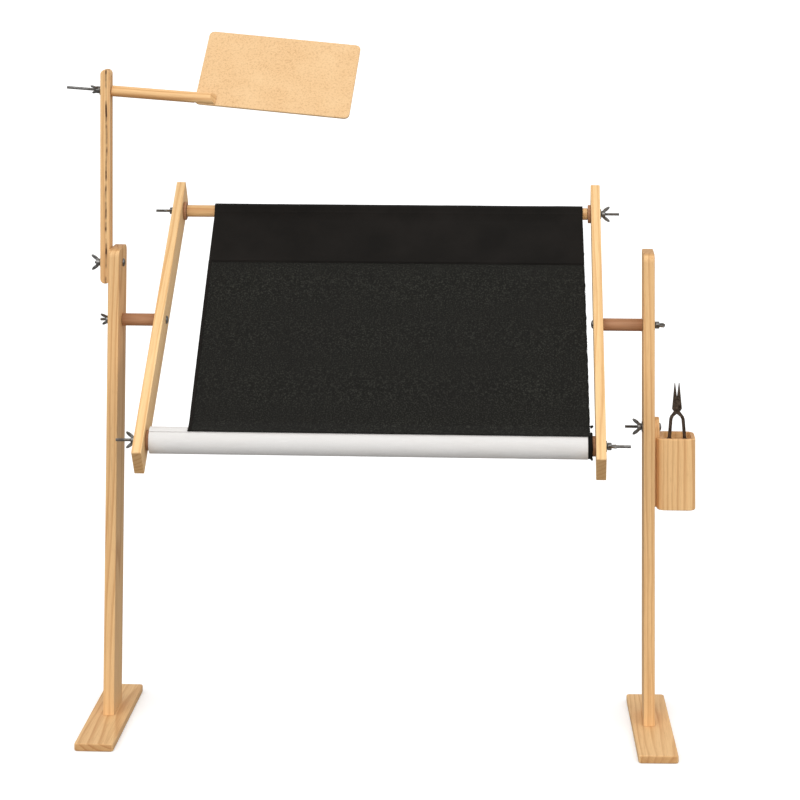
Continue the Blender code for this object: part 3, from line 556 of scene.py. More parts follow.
def blade_steel():
    """Dark browned steel, brighter where it has been ground."""
    material, tree, shader = blank_material("browned_steel")
    place = add_node(tree, "TexCoord").outputs["Object"]
    stain = speckle(tree, place, 240.0, 4.0, 0.6)
    grinding = speckle(tree, stretched(tree, place, (300.0, 300.0, 4200.0)), 1.0, 2.0)
    patches = ramp(tree, stain, [(0.35, 0.0), (0.7, 1.0)])
    colour = mix(tree, patches, (0.055, 0.036, 0.026), (0.17, 0.125, 0.095))
    roughness = ramp(tree, stain, [(0.3, 0.28), (0.75, 0.50)])
    set_surface(tree, shader, colour, roughness, grinding, 0.00005, 0.5)
    shader.inputs["Metallic"].default_value = 1.0
    return material


def weave_height(tree, place, block):
    """Over and under of a square weave whose blocks are block metres wide, in the XZ plane."""
    scaled = stretched(tree, place, (math.pi / block, 0.0, math.pi / block))
    parts = add_node(tree, "SeparateXYZ", {0: scaled})
    across = maths(tree, "ABSOLUTE", maths(tree, "SINE", parts.outputs["X"]))
    along = maths(tree, "ABSOLUTE", maths(tree, "SINE", parts.outputs["Z"]))
    blocks = maths(tree, "MULTIPLY", across, along)
    threads = maths(tree, "SINE", maths(tree, "MULTIPLY", parts.outputs["X"], 8.0))
    cross = maths(tree, "SINE", maths(tree, "MULTIPLY", parts.outputs["Z"], 8.0))
    fine = maths(tree, "MULTIPLY", maths(tree, "MULTIPLY", threads, cross), 0.18)
    return maths(tree, "ADD", blocks, fine), blocks


def black_evenweave():
    """Black block-weave cotton, with the slight ribs and slubs of its warp."""
    material, tree, shader = blank_material("black_evenweave")
    place = turned_place(tree, ALONG, (0.0, 0.0, 0.0))
    height, blocks = weave_height(tree, place, WEAVE)
    slub = speckle(tree, stretched(tree, place, (260.0, 30.0, 26.0)), 1.0, 2.0)
    knots = speckle(tree, place, 430.0, 2.0)
    lint = speckle(tree, place, 900.0, 2.0)
    broad = speckle(tree, place, 7.0, 2.0)
    colour = mix(tree, blocks, (0.0025, 0.0024, 0.0018), (0.0125, 0.0122, 0.0095))
    colour = mix(tree, ramp(tree, slub, [(0.50, 0.0), (0.80, 0.35)]), colour, (0.024, 0.0235, 0.019))
    colour = mix(tree, ramp(tree, knots, [(0.50, 0.0), (0.66, 0.85)]), colour, (0.033, 0.033, 0.027))
    colour = mix(tree, ramp(tree, lint, [(0.62, 0.0), (0.84, 0.30)]), colour, (0.060, 0.053, 0.048))
    colour = mix(tree, ramp(tree, broad, [(0.35, 0.30), (0.65, 0.0)]), colour, (0.010, 0.009, 0.008))
    roughness = ramp(tree, slub, [(0.3, 0.86), (0.7, 0.96)])
    set_surface(tree, shader, colour, roughness, height, 0.00028, 0.9)
    shader.inputs["Specular IOR Level"].default_value = 0.12
    shader.inputs["Sheen Weight"].default_value = 0.04
    return material


def black_twill():
    """Plain black tape and thread: a close diagonal twill, smoother than the evenweave."""
    material, tree, shader = blank_material("black_tape")
    place = turned_place(tree, ALONG, (0.0, 0.0, 0.0))
    parts = add_node(tree, "SeparateXYZ", {0: place})
    half_along = maths(tree, "MULTIPLY", parts.outputs["Z"], 0.5)
    diagonal = maths(tree, "ADD", parts.outputs["X"], half_along)
    twill = maths(tree, "SINE", maths(tree, "MULTIPLY", diagonal, 2 * math.pi / TWILL))
    lint = speckle(tree, place, 1100.0, 2.0)
    broad = ramp(tree, speckle(tree, place, 11.0, 3.0), [(0.35, 0.0), (0.7, 1.0)])
    colour = mix(tree, broad, (0.005, 0.004, 0.003), (0.0105, 0.0085, 0.007))
    colour = mix(tree, ramp(tree, lint, [(0.64, 0.0), (0.87, 0.25)]), colour, (0.050, 0.043, 0.038))
    roughness = ramp(tree, lint, [(0.3, 0.84), (0.7, 0.95)])
    set_surface(tree, shader, colour, roughness, twill, 0.00010, 0.6)
    shader.inputs["Specular IOR Level"].default_value = 0.15
    shader.inputs["Sheen Weight"].default_value = 0.02
    return material


def white_cotton():
    """Plain-weave white cotton, faintly creased and grubby from handling."""
    material, tree, shader = blank_material("white_cotton")
    place = add_node(tree, "TexCoord").outputs["Object"]
    height, blocks = weave_height(tree, place, COTTON_WEAVE)
    grub = speckle(tree, stretched(tree, place, (9.0, 40.0, 40.0)), 1.0, 4.0)
    slub = speckle(tree, stretched(tree, place, (60.0, 900.0, 900.0)), 1.0, 2.0)
    colour = mix(tree, blocks, (0.66, 0.64, 0.62), (0.82, 0.805, 0.79))
    colour = mix(tree, ramp(tree, grub, [(0.45, 0.0), (0.8, 0.40)]), colour, (0.70, 0.66, 0.62))
    colour = mix(tree, ramp(tree, slub, [(0.55, 0.0), (0.8, 0.25)]), colour, (0.92, 0.91, 0.90))
    roughness = ramp(tree, slub, [(0.3, 0.85), (0.7, 0.95)])
    set_surface(tree, shader, colour, roughness, height, 0.00010, 0.7)
    shader.inputs["Sheen Weight"].default_value = 0.10
    return material


def paint(node, material):
    """Gives a CAD node a new finish through its own material slots."""
    obj = frame["nodes"][node]
    if not obj.material_slots:
        obj.data.materials.append(material)
    for slot in obj.material_slots:
        slot.material = material


CORNERS = ("top_left", "top_right", "bottom_left", "bottom_right")  # of the scroll frame

# Grain direction and material slot of every wooden node.
BOARDS = {
    "left_foot": (Y_AXIS, "pine"),
    "right_foot": (Y_AXIS, "pine"),
    "left_post": (Z_AXIS, "pine"),
    "right_post": (Z_AXIS, "pine"),
    "left_spacer": (X_AXIS, "brown_pine"),
    "right_spacer": (X_AXIS, "brown_pine"),
    "left_arm": (ALONG, "pale_pine"),
    "right_arm": (ALONG, "pale_pine"),
    "top_bar": (X_AXIS, "pine"),
    "bottom_bar": (X_AXIS, "pine"),
    **{corner + "_flange": (X_AXIS, "brown_pine") for corner in CORNERS},
    "chart_upright": (Z_AXIS, "pine"),
    "chart_arm": (CHART_AXIS, "pine"),
    "tool_box_plate": (Z_AXIS, "pine"),
    "tool_box": (Z_AXIS, "pine"),
}


def soften(node):
    """Breaks the sharp edges of a flat metal CAD node."""
    bevel = frame["nodes"][node].modifiers.new("Soft edges", "BEVEL")
    bevel.width = 0.00035
    bevel.segments = 2
    bevel.limit_method = "ANGLE"
    bevel.angle_limit = math.radians(50.0)


def wood_materials():
    """One wood for each board, cut from its own place in the tree."""
    draw = random.Random(7)
    woods = {}
    for node, (axis, slot) in BOARDS.items():
        pith = draw.uniform(0.0, 2.0 * math.pi)
        away = draw.uniform(0.05, 0.11)
        turned = (away * math.cos(pith), away * math.sin(pith), draw.uniform(-3.0, 3.0))
        to_z = axis.rotation_difference(Z_AXIS).to_matrix()
        offset = Vector(turned) - to_z @ middle(node)
        tint = draw.uniform(0.94, 1.04)
        toned = [tuple(min(1.0, c * tint) for c in tone) for tone in WOOD_TONES[slot]]
        # The chart upright gets painted slot shade down its front.
        slot_shade_x = middle(node).x + 0.0018 if node == "chart_upright" else None
        woods[node] = wood("wood_" + node, axis, offset, toned, slot_shade_x=slot_shade_x)
    return woods


# Round pieces, threads and wing nuts --------------------------------------------------------------

# Round wooden nodes and the rounding of their edges.
ROUND_PIECES = {
    "left_spacer": 0.0012,
    "right_spacer": 0.0012,
    "top_bar": 0.0008,
    "bottom_bar": 0.0008,
    **{corner + "_flange": 0.0010 for corner in CORNERS},
}

FASTENED = ("left_pivot", "right_pivot", *CORNERS, "chart_clamp", "chart_arm", "tool_box")

# Threaded nodes and the way each one points.
THREADED = {
    **{corner + "_stud": X_AXIS for corner in CORNERS},
    "chart_arm_rod": CHART_AXIS,
    "left_pivot_bolt": X_AXIS,
    "right_pivot_bolt": X_AXIS,
    "chart_clamp_bolt": X_AXIS,
    "tool_box_bolt": X_AXIS,
}


def add_ring(node, axis, edge, material, slot):
    """A finer copy of a round node with a bore, its outer edges rounded."""
    centre, low, high, inner, outer = round_size(node, axis)
    profile = ring_profile(low, high, inner, outer, edge)
    rings = turned_rings(profile, centre, axis, FINE_SIDES)
    add_solid(node + "_fine", skin(rings, closed=True), material, slot, body_of(node), node)


def thread_rings(centre, axis, low, high, radius):
    """Rings along a screw thread; the ends fade to the root so that they close cleanly."""
    across, up, direction = (np.array(column) for column in basis(axis).transposed())
    rows = int((high - low) / THREAD_PITCH * THREAD_ROWS)
    angles = np.arange(THREAD_SIDES) * 2 * math.pi / THREAD_SIDES
    circle = np.outer(np.cos(angles), across) + np.outer(np.sin(angles), up)
    rings = []
    for row in range(rows + 1):
        along = low + (high - low) * row / rows
        phase = (along / THREAD_PITCH - angles / (2 * math.pi)) % 1.0
        crest = 1.0 - np.abs(2.0 * phase - 1.0)
        fade = min(1.0, (high - along) / THREAD_PITCH, (along - low) / THREAD_PITCH)
        sizes = radius - THREAD_DEPTH + THREAD_DEPTH * crest * fade
        rings.append(np.array(centre) + direction * along + circle * sizes[:, None])
    return rings


def bolt_head_rings(centre, axis, end, side, radius, height):
    """A domed carriage-bolt head whose top is at end and whose face looks to side."""
    profile = []
    for i in range(HEAD_STEPS + 1):
        angle = math.radians(4.0 + 86.0 * i / HEAD_STEPS)
        drop = height * 0.85 * (1 - math.cos(angle))
        profile.append((end - side * drop, radius * math.sin(angle)))
    profile.append((end - side * height * 0.97, radius))
    profile.append((end - side * height, radius * 0.95))
    profile.append((end - side * height, THREAD_R - THREAD_DEPTH))
    return turned_rings(profile, centre, axis, HEAD_SIDES)


def add_threaded(node, axis, material):
    """A stud, a rod or a carriage bolt with a real thread."""
    centre, low, high, _, outer = round_size(node, axis)
    parts = []
    if outer > 2 * THREAD_R:
        along, radial = about_axis(node, centre, axis)
        head = along[np.linalg.norm(radial, axis=1) > 2 * THREAD_R]
        side = 1.0 if head.mean() > 0 else -1.0
        end, seat = (high, head.min()) if side > 0 else (low, head.max())
        parts.append(skin(bolt_head_rings(centre, axis, end, side, outer, abs(end - seat))))
        low, high = (low, seat) if side > 0 else (seat, high)
    parts.append(skin(thread_rings(centre, axis, low, high, THREAD_R)))
    name = node + "_threaded"
    add_solid(name, add_up(parts), material, "zinc", body_of(node), node, smooth_angle=65.0)


def wing_ear(side):
    """One wing as a rounded oval plate that leans outwards; x is along the wings, z off the seat."""
    lean = WING_SPLAY * side
    centre = Vector((side * WING_MIDDLE[0], 0.0, WING_MIDDLE[1]))
    rings = []
    for i in range(WING_STEPS + 1):
        angle = -math.pi / 2 + math.pi * i / WING_STEPS
        shrink = WING_ROUNDING * (1.0 - math.cos(angle))
        half_u, half_v = WING_HALF[0] - shrink, WING_HALF[1] - shrink
        ring = []
        for k in range(WING_SIDES):
            turn = 2 * math.pi * k / WING_SIDES
            u, v = half_u * math.cos(turn), half_v * math.sin(turn)
            x = u * math.cos(lean) + v * math.sin(lean)
            z = -u * math.sin(lean) + v * math.cos(lean)
            ring.append(centre + Vector((x, WING_HALF_T * math.sin(angle), z)))
        rings.append(ring)
    return skin(rings)


def wing_nut_shape():
    """A cast wing nut in its own space: seat at z 0, wings along x, soft where they meet the hub."""
    hub = ring_profile(0.0, NUT_H, NUT_BORE_R, NUT_R, NUT_EDGE)
    parts = [
        skin(turned_rings(hub, (0.0, 0.0, 0.0), Z_AXIS, 48), closed=True),
        wing_ear(-1),
        wing_ear(1),
    ]
    obj = make_object("wing_nut_shape", *add_up(parts))
    fix_normals(obj)
    cast = obj.modifiers.new("Cast", "REMESH")
    cast.mode = "VOXEL"
    cast.voxel_size = 0.00042
    soft = obj.modifiers.new("Soft", "SMOOTH")
    soft.factor = 0.5
    soft.iterations = 4
    seen = obj.evaluated_get(bpy.context.evaluated_depsgraph_get())
    mesh = bpy.data.meshes.new_from_object(seen)
    bpy.data.objects.remove(obj, do_unlink=True)
    vertices = np.array([v.co for v in mesh.vertices])
    faces = [tuple(p.vertices) for p in mesh.polygons]
    # The flat seat comes back after the smoothing.
    vertices[:, 2] = np.maximum(vertices[:, 2], 0.0)
    return vertices, faces


def add_wing_nut(name, shape, material):
    """Places the cast nut where the CAD nut's wings stand."""
    node = name + "_wing_nut"
    spin = joint("wing_nut_" + name + "_spin")
    axis = np.array(Vector(spin["axis"]).normalized())
    origin = np.array(spin["pos_m"])
    along, radial = about_axis(node, origin, axis)
    reach = np.linalg.norm(radial, axis=1)
    tips = along[reach > 0.8 * reach.max()].mean()
    side = 1.0 if tips > along[reach < NUT_REACH].mean() else -1.0
    seat = along.min() if side > 0 else along.max()
    wings = radial[reach.argmax()] / reach.max()
    facing = axis * side
    vertices, faces = shape
    place = np.stack([wings, np.cross(facing, wings), facing])
    moved = vertices @ place + origin + axis * seat
    obj = make_object(node + "_cast", moved, faces, 60.0)
    finish_piece(obj, material, "zinc", body_of(node), node)


# Cloth --------------------------------------------------------------------------------------------


def panel_edges():
    """Where the CAD's cloth panel ends: x at its corners, and how far off the bars it lies."""
    points = points_of("cloth_panel")
    low = np.array(BAR_LOW)
    along = (points - low) @ np.array(ALONG)
    out = (points - low) @ np.array(OUT)
    edges = {}
    for word, chosen in (("bottom", along < BAR_SPACING / 2), ("top", along > BAR_SPACING / 2)):
        edges[word] = (points[chosen, 0].min(), points[chosen, 0].max(), out[chosen].min())
    return edges


PANEL = panel_edges()
WRAP_R = (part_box("top_cloth_wrap")[1].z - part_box("top_cloth_wrap")[0].z) / 2


def panel_point(across, along):
    """A point on the back of the stretched cloth; across runs 0 to 1, along is metres up it.

    Above the top bar's own height the cloth bends back over the bar.
    """
    t = min(max(along / BAR_SPACING, 0.0), 1.0)
    left = PANEL["bottom"][0] * (1 - t) + PANEL["top"][0] * t
    right = PANEL["bottom"][1] * (1 - t) + PANEL["top"][1] * t
    x = left + (right - left) * across
    bottom_out, top_out = PANEL["bottom"][2], PANEL["top"][2]
    if along <= BAR_SPACING:
        return on_frame(x, along, bottom_out * (1 - t) + top_out * t)
    angle = (along - BAR_SPACING) / top_out
    return on_frame(x, BAR_SPACING + top_out * math.sin(angle), top_out * math.cos(angle))


CLOTH_COLUMNS = 110
CLOTH_ROWS = 90


def sheet(name, low, high, columns, rows, place, across_end=1.0):
    """A strip of the cloth between two distances up it; place gives each of its points."""
    vertices = []
    for row in range(rows + 1):
        along = low + (high - low) * row / rows
        for column in range(columns + 1):
            vertices.append(place(across_end * column / columns, along))
    width = columns + 1
    faces = []
    for row in range(rows):
        for column in range(columns):
            corner = row * width + column
            faces.append((corner, corner + 1, corner + 1 + width, corner + width))
    return make_object(name, vertices, faces, 180.0)


def simulate_sheet(obj):
    """Draws the sheet taut between its bars, so that its free sides pull in and ripple a little."""
    width = CLOTH_COLUMNS + 1
    pins = obj.vertex_groups.new(name="bars")
    last_row = CLOTH_ROWS * width
    pins.add(list(range(width)), 1.0, "REPLACE")
    pins.add(list(range(last_row, last_row + width)), 1.0, "REPLACE")
    cloth = obj.modifiers.new("Cloth", "CLOTH")
    settings = cloth.settings
    settings.quality = 6
    settings.mass = 0.25
    settings.tension_stiffness = 30.0
    settings.compression_stiffness = 20.0
    settings.shear_stiffness = 8.0
    settings.bending_stiffness = 0.6
    settings.shrink_min = 0.004
    settings.vertex_group_mass = "bars"
    settings.effector_weights.gravity = 0.6
    cloth.point_cache.frame_start = 1
    cloth.point_cache.frame_end = SETTLE_FRAMES
    for step in range(1, SETTLE_FRAMES + 1):
        bpy.context.scene.frame_set(step)
    seen = obj.evaluated_get(bpy.context.evaluated_depsgraph_get())
    settled = np.array([v.co for v in seen.data.vertices])
    rest = np.array([v.co for v in obj.data.vertices])
    bpy.context.scene.frame_set(1)
    shift = settled - rest
    length = np.linalg.norm(shift, axis=1, keepdims=True)
    return rest + shift * np.minimum(1.0, MOST_SHIFT / np.maximum(length, 1e-9))


def settled_cloth():
    """Points of the stretched cloth's back face, row by row up the frame, once it has settled."""
    obj = sheet("settling_sheet", 0.0, BAR_SPACING, CLOTH_COLUMNS, CLOTH_ROWS, panel_point)
    points = simulate_sheet(obj)
    bpy.data.objects.remove(obj, do_unlink=True)
    return points.reshape(CLOTH_ROWS + 1, CLOTH_COLUMNS + 1, 3)


def on_cloth(grid, across, along):
    """A point on the settled cloth's back; past the top bar it follows the bar's curve."""
    if along > BAR_SPACING:
        return panel_point(across, along)
    column = across * CLOTH_COLUMNS
    row = max(along, 0.0) / BAR_SPACING * CLOTH_ROWS
    i = min(int(column), CLOTH_COLUMNS - 1)
    j = min(int(row), CLOTH_ROWS - 1)
    u = column - i
    v = row - j
    low = grid[j, i] * (1 - u) + grid[j, i + 1] * u
    high = grid[j + 1, i] * (1 - u) + grid[j + 1, i + 1] * u
    return Vector(low * (1 - v) + high * v)


def thicken(obj, thickness):
    """Gives a sheet its thickness, on the side that faces the sitter."""
    solid = obj.modifiers.new("Solidify", "SOLIDIFY")
    solid.thickness = thickness
    solid.offset = 1.0
    solid.use_even_offset = True


def add_panel(grid, weave):
    """The evenweave; its right side is a raw edge, slightly frayed."""

    def frayed(across, along):
        share = max(0.0, across - 0.985) / 0.015
        fray = noise.noise(Vector((3.1, along * 70.0, 0.2))) * 0.0012
        fray += noise.noise(Vector((7.7, along * 260.0, 0.9))) * 0.0007
        return on_cloth(grid, across, along) + X_AXIS * fray * share

    obj = sheet("evenweave_sheet", 0.0, BAR_SPACING, CLOTH_COLUMNS, 300, frayed)
    thicken(obj, SHEET_T)
    finish_piece(obj, weave, "black_cloth", "scroll_frame", "cloth_panel")


def add_hem(grid, twill):
    """The border turned in down the left side."""
    share = HEM_W / (PANEL["bottom"][1] - PANEL["bottom"][0])

    def turned_in(across, along):
        pucker = noise.noise(Vector((across * 300.0, along * 120.0, 1.7))) * 0.00018
        return on_cloth(grid, across, along) + OUT * (SHEET_T + 0.00025 + pucker) - X_AXIS * 0.0003

    top = BAR_SPACING - BAND_DEPTH + 0.002
    obj = sheet("left_hem", 0.0, top, 6, 160, turned_in, across_end=share)
    thicken(obj, HEM_T)
    finish_piece(obj, twill, "black_cloth", "scroll_frame")


def add_band(grid, twill):
    """The plain band that the cloth hangs from: over the bar and down the face of the weave."""
    over = WRAP_R * math.radians(95.0)

    def lifted(across, along):
        ripple = noise.noise(Vector((across * 9.0, along * 14.0, 0.3))) * 0.00025
        ripple += noise.noise(Vector((across * 70.0, along * 55.0, 0.8))) * 0.00012
        below = along - BAR_SPACING + BAND_DEPTH
        edge = 0.0002 * min(1.0, abs(below) / 0.004)
        fold = 0.0005 * math.exp(-(((BAR_SPACING - TOP_FOLD - along) / 0.0014) ** 2))
        normal = OUT
        if along > BAR_SPACING:
            angle = (along - BAR_SPACING) / PANEL["top"][2]
            normal = OUT * math.cos(angle) + ALONG * math.sin(angle)
        return on_cloth(grid, across, along) + normal * (SHEET_T + 0.0003 + edge + fold + ripple)

    low = BAR_SPACING - BAND_DEPTH
    obj = sheet("top_band", low, BAR_SPACING + over, 150, 110, lifted)
    thicken(obj, BAND_T)
    finish_piece(obj, twill, "black_cloth", "scroll_frame")


def add_overcast(name, edge, start, end, inward, material):
    """Thread wound over a raw edge. edge(s) is the point s metres along it."""
    steps = 8
    count = int((end - start) / OVERCAST_PITCH) * steps
    path = []
    for i in range(count + 1):
        angle = 2 * math.pi * i / steps
        uneven = 1.0 + 0.35 * noise.noise(Vector((i * 0.11, 2.3, 0.0)))
        reach = inward * (OVERCAST_IN - OVERCAST_REACH * math.cos(angle)) * uneven
        lift = OUT * (SHEET_T / 2 + OVERCAST_DEPTH * math.sin(angle))
        path.append(edge(start + (end - start) * i / count) + reach + lift)
    add_sewing(name, sweep(path, SEWING_R, 5), material)


def add_seam(grid, material):
    """Running stitches along the lower edge of the band."""
    width = PANEL["top"][1] - PANEL["top"][0]
    along = BAR_SPACING - BAND_DEPTH + 0.0025
    count = int(width / SEAM_STITCH) * 6
    path = []
    for i in range(count + 1):
        across = 0.004 + 0.992 * i / count
        rise = 0.0004 * math.sin(2 * math.pi * i / 6)
        wobble = 0.0003 * noise.noise(Vector((i * 0.05, 0.4, 0.0)))
        path.append(on_cloth(grid, across, along + wobble) + OUT * (SHEET_T + 0.0012 + rise))
    add_sewing("band_seam", sweep(path, SEWING_R, 5), material)


def add_knot(grid, material):
    """The knot of the sewing thread near the bottom right corner."""
    centre = on_cloth(grid, 1.0, KNOT_ALONG) + X_AXIS * KNOT_RIGHT + OUT * KNOT_OUT
    path = []
    for i in range(72):
        t = 2 * math.pi * i / 72
        u = math.sin(t) + 2 * math.sin(2 * t)
        v = math.cos(t) - 2 * math.cos(2 * t)
        path.append(centre + (X_AXIS * u + ALONG * v - OUT * math.sin(3 * t)) * KNOT_SCALE)
    add_sewing("corner_knot", sweep(path, KNOT_THREAD_R, 8, closed=True), material)


def add_loose_threads(grid, material):
    """Ends of thread that stand off the frayed right edge."""
    draw = random.Random(3)
    parts = []
    for _ in range(LOOSE_THREADS):
        start = on_cloth(grid, 1.0, draw.uniform(0.02, BAR_SPACING - 0.03)) + OUT * SHEET_T / 2
        length = draw.uniform(0.003, 0.007)
        up = draw.uniform(-0.6, 0.6)
        curl = draw.uniform(-0.5, 0.5)
        path = []
        for i in range(9):
            s = i / 8
            path.append(
                start
                + X_AXIS * (s * length - 0.0006)
                + ALONG * (up * s * length + curl * s * s * length)
                + OUT * 0.0004 * math.sin(4 * s)
            )
        parts.append(sweep(path, LOOSE_THREAD_R, 5))
    add_sewing("loose_threads", add_up(parts), material)


def add_edge_cord(material):
    """The bulging rolled edge at the right end of the cloth roll."""
    low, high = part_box("roll_cloth_edge")
    centre = middle("roll_cloth_edge")
    radius = (high.z - low.z) / 2 - CORD_IN
    path = []
    for i in range(96):
        angle = 2 * math.pi * i / 96
        swell = 0.0011 * noise.noise(Vector((math.cos(angle) * 2.2, math.sin(angle) * 2.2, 5.0)))
        side = OUT * math.cos(angle) + ALONG * math.sin(angle)
        path.append(Vector((high.x - 0.0005 + swell, centre.y, centre.z)) + side * (radius + swell))
    cord = sweep(path, CORD_R, 10, closed=True)
    add_solid("roll_edge_cord", cord, material, "black_cloth", body_of("roll_cloth_edge"))


def add_stretched_cloth(twill, weave):
    grid = settled_cloth()
    add_panel(grid, weave)
    add_hem(grid, twill)
    add_band(grid, twill)
    add_seam(grid, twill)
    low = OVERCAST_FROM
    high = BAR_SPACING
    width = PANEL["bottom"][1] - PANEL["bottom"][0]
    left = high - BAND_DEPTH
    add_overcast("left_overcast", lambda s: on_cloth(grid, 0.0, s), low, left, X_AXIS, twill)
    add_overcast("right_overcast", lambda s: on_cloth(grid, 1.0, s), low, high, -X_AXIS, twill)
    add_overcast("bottom_overcast", lambda s: on_cloth(grid, s / width, 0), 0, width, ALONG, twill)
    add_knot(grid, twill)
    add_loose_threads(grid, twill)


def crease(x, radius, angle, depth):
    """How far the last turn of a roll sinks at a place on it."""
    fold = depth * noise.noise(Vector((x * 22.0, radius * math.sin(angle) * 160.0, 4.1)))
    place = Vector((x * 60.0 + angle * 1.5, math.cos(angle) * 3.0, math.sin(angle) * 3.0))
    fold += 0.5 * depth * noise.noise(place)
    return min(fold, 0.0) - 0.0002


def winding(centre, outer, layer, wrinkle):
    """Outline of a strip wound outwards round centre: its outer face, then its inner one back."""
    turns = (outer - ROLL_CORE_R - layer * LAST_LAYER) / layer
    steps = int(turns * ROLL_TURN_STEPS)
    outside, inside = [], []
    for i in range(steps + 1):
        turn = turns * i / steps
        angle = 2 * math.pi * (turn - turns)
        radius = ROLL_CORE_R + layer * turn
        fold = crease(centre.x, radius, angle, wrinkle) if turn > turns - 1.05 else 0.0
        direction = OUT * math.cos(angle) - ALONG * math.sin(angle)
        outside.append(centre + direction * (radius + layer * LAYER_FILL + fold))
        inside.append(centre + direction * (radius + min(fold, 0.0) * 0.2))
    return outside + inside[::-1]


def spiral_roll(node, layer, stations, wrinkle):
    """Cloth rolled on a bar, with creases on its last turn."""
    low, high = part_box(node)
    axis_point = middle(node)
    rings = []
    for station in range(stations + 1):
        x = low.x + (high.x - low.x) * (station / stations)
        centre = Vector((x, axis_point.y, axis_point.z))
        rings.append(winding(centre, (high.z - low.z) / 2, layer, wrinkle))
    vertices, faces = skin(rings)
    faces = faces[:-2]  # the outline is no single flat face, so its ends are strips of quads
    count = len(rings[0])
    last = stations * count
    for i in range(count // 2 - 1):
        far = count - 1 - i
        faces.append((i, i + 1, far - 1, far))
        faces.append((last + far, last + far - 1, last + i + 1, last + i))
    return vertices, faces


def add_rolls(cotton, twill):
    for node, layer, stations, wrinkle, material, slot in (
        ("bottom_cloth_roll", ROLL_LAYER, 90, 0.0006, cotton, "white_cloth"),
        ("roll_cloth_edge", ROLL_LAYER, 3, 0.0003, twill, "black_cloth"),
        ("top_cloth_wrap", WRAP_LAYER, 60, 0.0001, twill, "black_cloth"),
    ):
        shape = spiral_roll(node, layer, stations, wrinkle)
        name = node + "_wound"
        add_solid(name, shape, material, slot, body_of(node), node, smooth_angle=50.0)


# Scene --------------------------------------------------------------------------------------------


def add_camera():
    """The lens shift keeps the posts parallel; it fades out when the camera is moved elsewhere."""
    data = bpy.data.cameras.new("camera")
    data.lens = CAMERA_LENS
    data.sensor_width = 36.0
    data.clip_end = 300.0
    camera = bpy.data.objects.new("camera", data)
    camera.location = CAMERA_AT
    camera.rotation_euler = (math.pi / 2, 0.0, CAMERA_YAW)
    bpy.context.scene.collection.objects.link(camera)
    home = bpy.data.objects.new("camera_home", None)
    home.location = CAMERA_AT
    bpy.context.scene.collection.objects.link(home)
    curve = data.driver_add("shift_y")
    curve.driver.type = "SUM"
    distance = curve.driver.variables.new()
    distance.type = "LOC_DIFF"
    distance.targets[0].id = camera
    distance.targets[1].id = home
    for modifier in list(curve.modifiers):
        curve.modifiers.remove(modifier)
    curve.keyframe_points.add(2)
    curve.keyframe_points[0].co = (0.0, CAMERA_SHIFT)
    curve.keyframe_points[1].co = (SHIFT_FADE, 0.0)
    for key in curve.keyframe_points:
        key.interpolation = "LINEAR"
    bpy.context.scene.camera = camera


def add_floor():
    bm = bmesh.new()
    bmesh.ops.create_grid(bm, x_segments=4, y_segments=4, size=FLOOR_HALF)
    mesh = bpy.data.meshes.new("floor")
    bm.to_mesh(mesh)
    bm.free()
    floor = bpy.data.objects.new("floor", mesh)
    bpy.context.scene.collection.objects.link(floor)
    floor.location.z = CAD_BOX[0].z - FLOOR_DROP
    material, tree, shader = blank_material("studio_floor")
    place = add_node(tree, "TexCoord").outputs["Object"]
    grain = speckle(tree, place, 60.0, 2.0)
    pale = mix(tree, grain, (0.93, 0.93, 0.93), (0.95, 0.95, 0.95))
    seen = add_node(tree, "LightPath").outputs["Is Camera Ray"]
    colour = mix(tree, seen, FLOOR_BOUNCE, pale)
    tree.links.new(colour, shader.inputs["Base Color"])
    shader.inputs["Roughness"].default_value = 0.9
    shader.inputs["Specular IOR Level"].default_value = 0.1
    shader.inputs["Emission Color"].default_value = (1.0, 1.0, 1.0, 1.0)
    tree.links.new(maths(tree, "MULTIPLY", seen, FLOOR_GLOW), shader.inputs["Emission Strength"])
    mesh.materials.append(material)


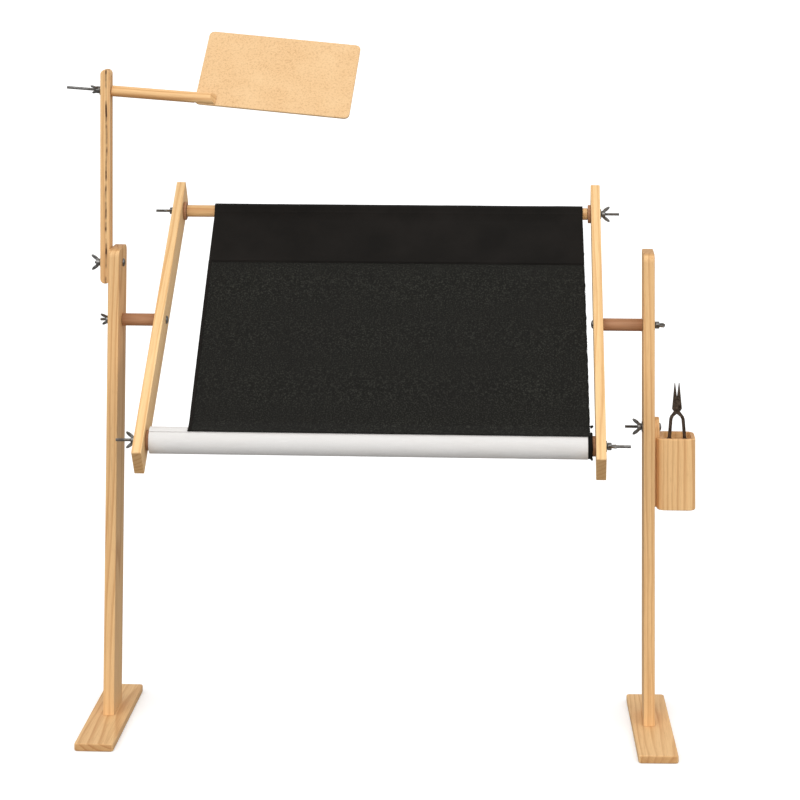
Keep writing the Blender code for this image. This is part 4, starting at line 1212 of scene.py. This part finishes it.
def add_sun(name, direction, strength):
    """A wide soft lamp that shines along direction."""
    data = bpy.data.lights.new(name, "SUN")
    data.energy = strength
    data.angle = SOFTBOX_ANGLE
    lamp = bpy.data.objects.new(name, data)
    lamp.rotation_euler = Vector(direction).to_track_quat("-Z", "Y").to_euler()
    bpy.context.scene.collection.objects.link(lamp)


def add_light():
    world = bpy.data.worlds.new("studio")
    world.use_nodes = True
    tree = world.node_tree
    background = tree.nodes["Background"]
    seen = add_node(tree, "LightPath").outputs["Is Camera Ray"]
    tree.links.new(mix(tree, seen, SKY_LIGHT, (1.0, 1.0, 1.0)), background.inputs["Color"])
    bpy.context.scene.world = world
    for name, (direction, strength) in SOFTBOXES.items():
        add_sun(name, direction, strength)
    bpy.context.scene.view_settings.view_transform = "Standard"


# Main ---------------------------------------------------------------------------------------------


def paint_cad(woods, metal, steel):
    """New finishes for the CAD pieces that keep their own shape."""
    for node, material in woods.items():
        if node not in ROUND_PIECES:
            paint(node, material)
    paint("chart_board", hardboard())
    for node in frame["nodes"]:
        if "screw" in node:
            paint(node, steel if node.startswith("scissors") else metal)
    for node in ("scissors_front", "scissors_back"):
        paint(node, steel)
        soften(node)


def add_hardware(woods, metal):
    """Turned wood, washers, studs, bolts and wing nuts."""
    for node, edge in ROUND_PIECES.items():
        axis, slot = BOARDS[node]
        add_ring(node, axis, edge, woods[node], slot)
    for name in FASTENED:
        axis = CHART_AXIS if name == "chart_arm" else X_AXIS
        add_ring(name + "_washer", axis, WASHER_EDGE, metal, "zinc")
    for node, axis in THREADED.items():
        add_threaded(node, axis, metal)
    shape = wing_nut_shape()
    for node in frame["nodes"]:
        if node.endswith("_wing_nut"):
            add_wing_nut(node.removesuffix("_wing_nut"), shape, metal)


def main():
    woods = wood_materials()
    metal = zinc()
    twill = black_twill()
    paint_cad(woods, metal, blade_steel())
    add_hardware(woods, metal)
    add_stretched_cloth(twill, black_evenweave())
    add_rolls(white_cotton(), twill)
    add_edge_cord(twill)
    add_floor()
    add_light()
    add_camera()


main()
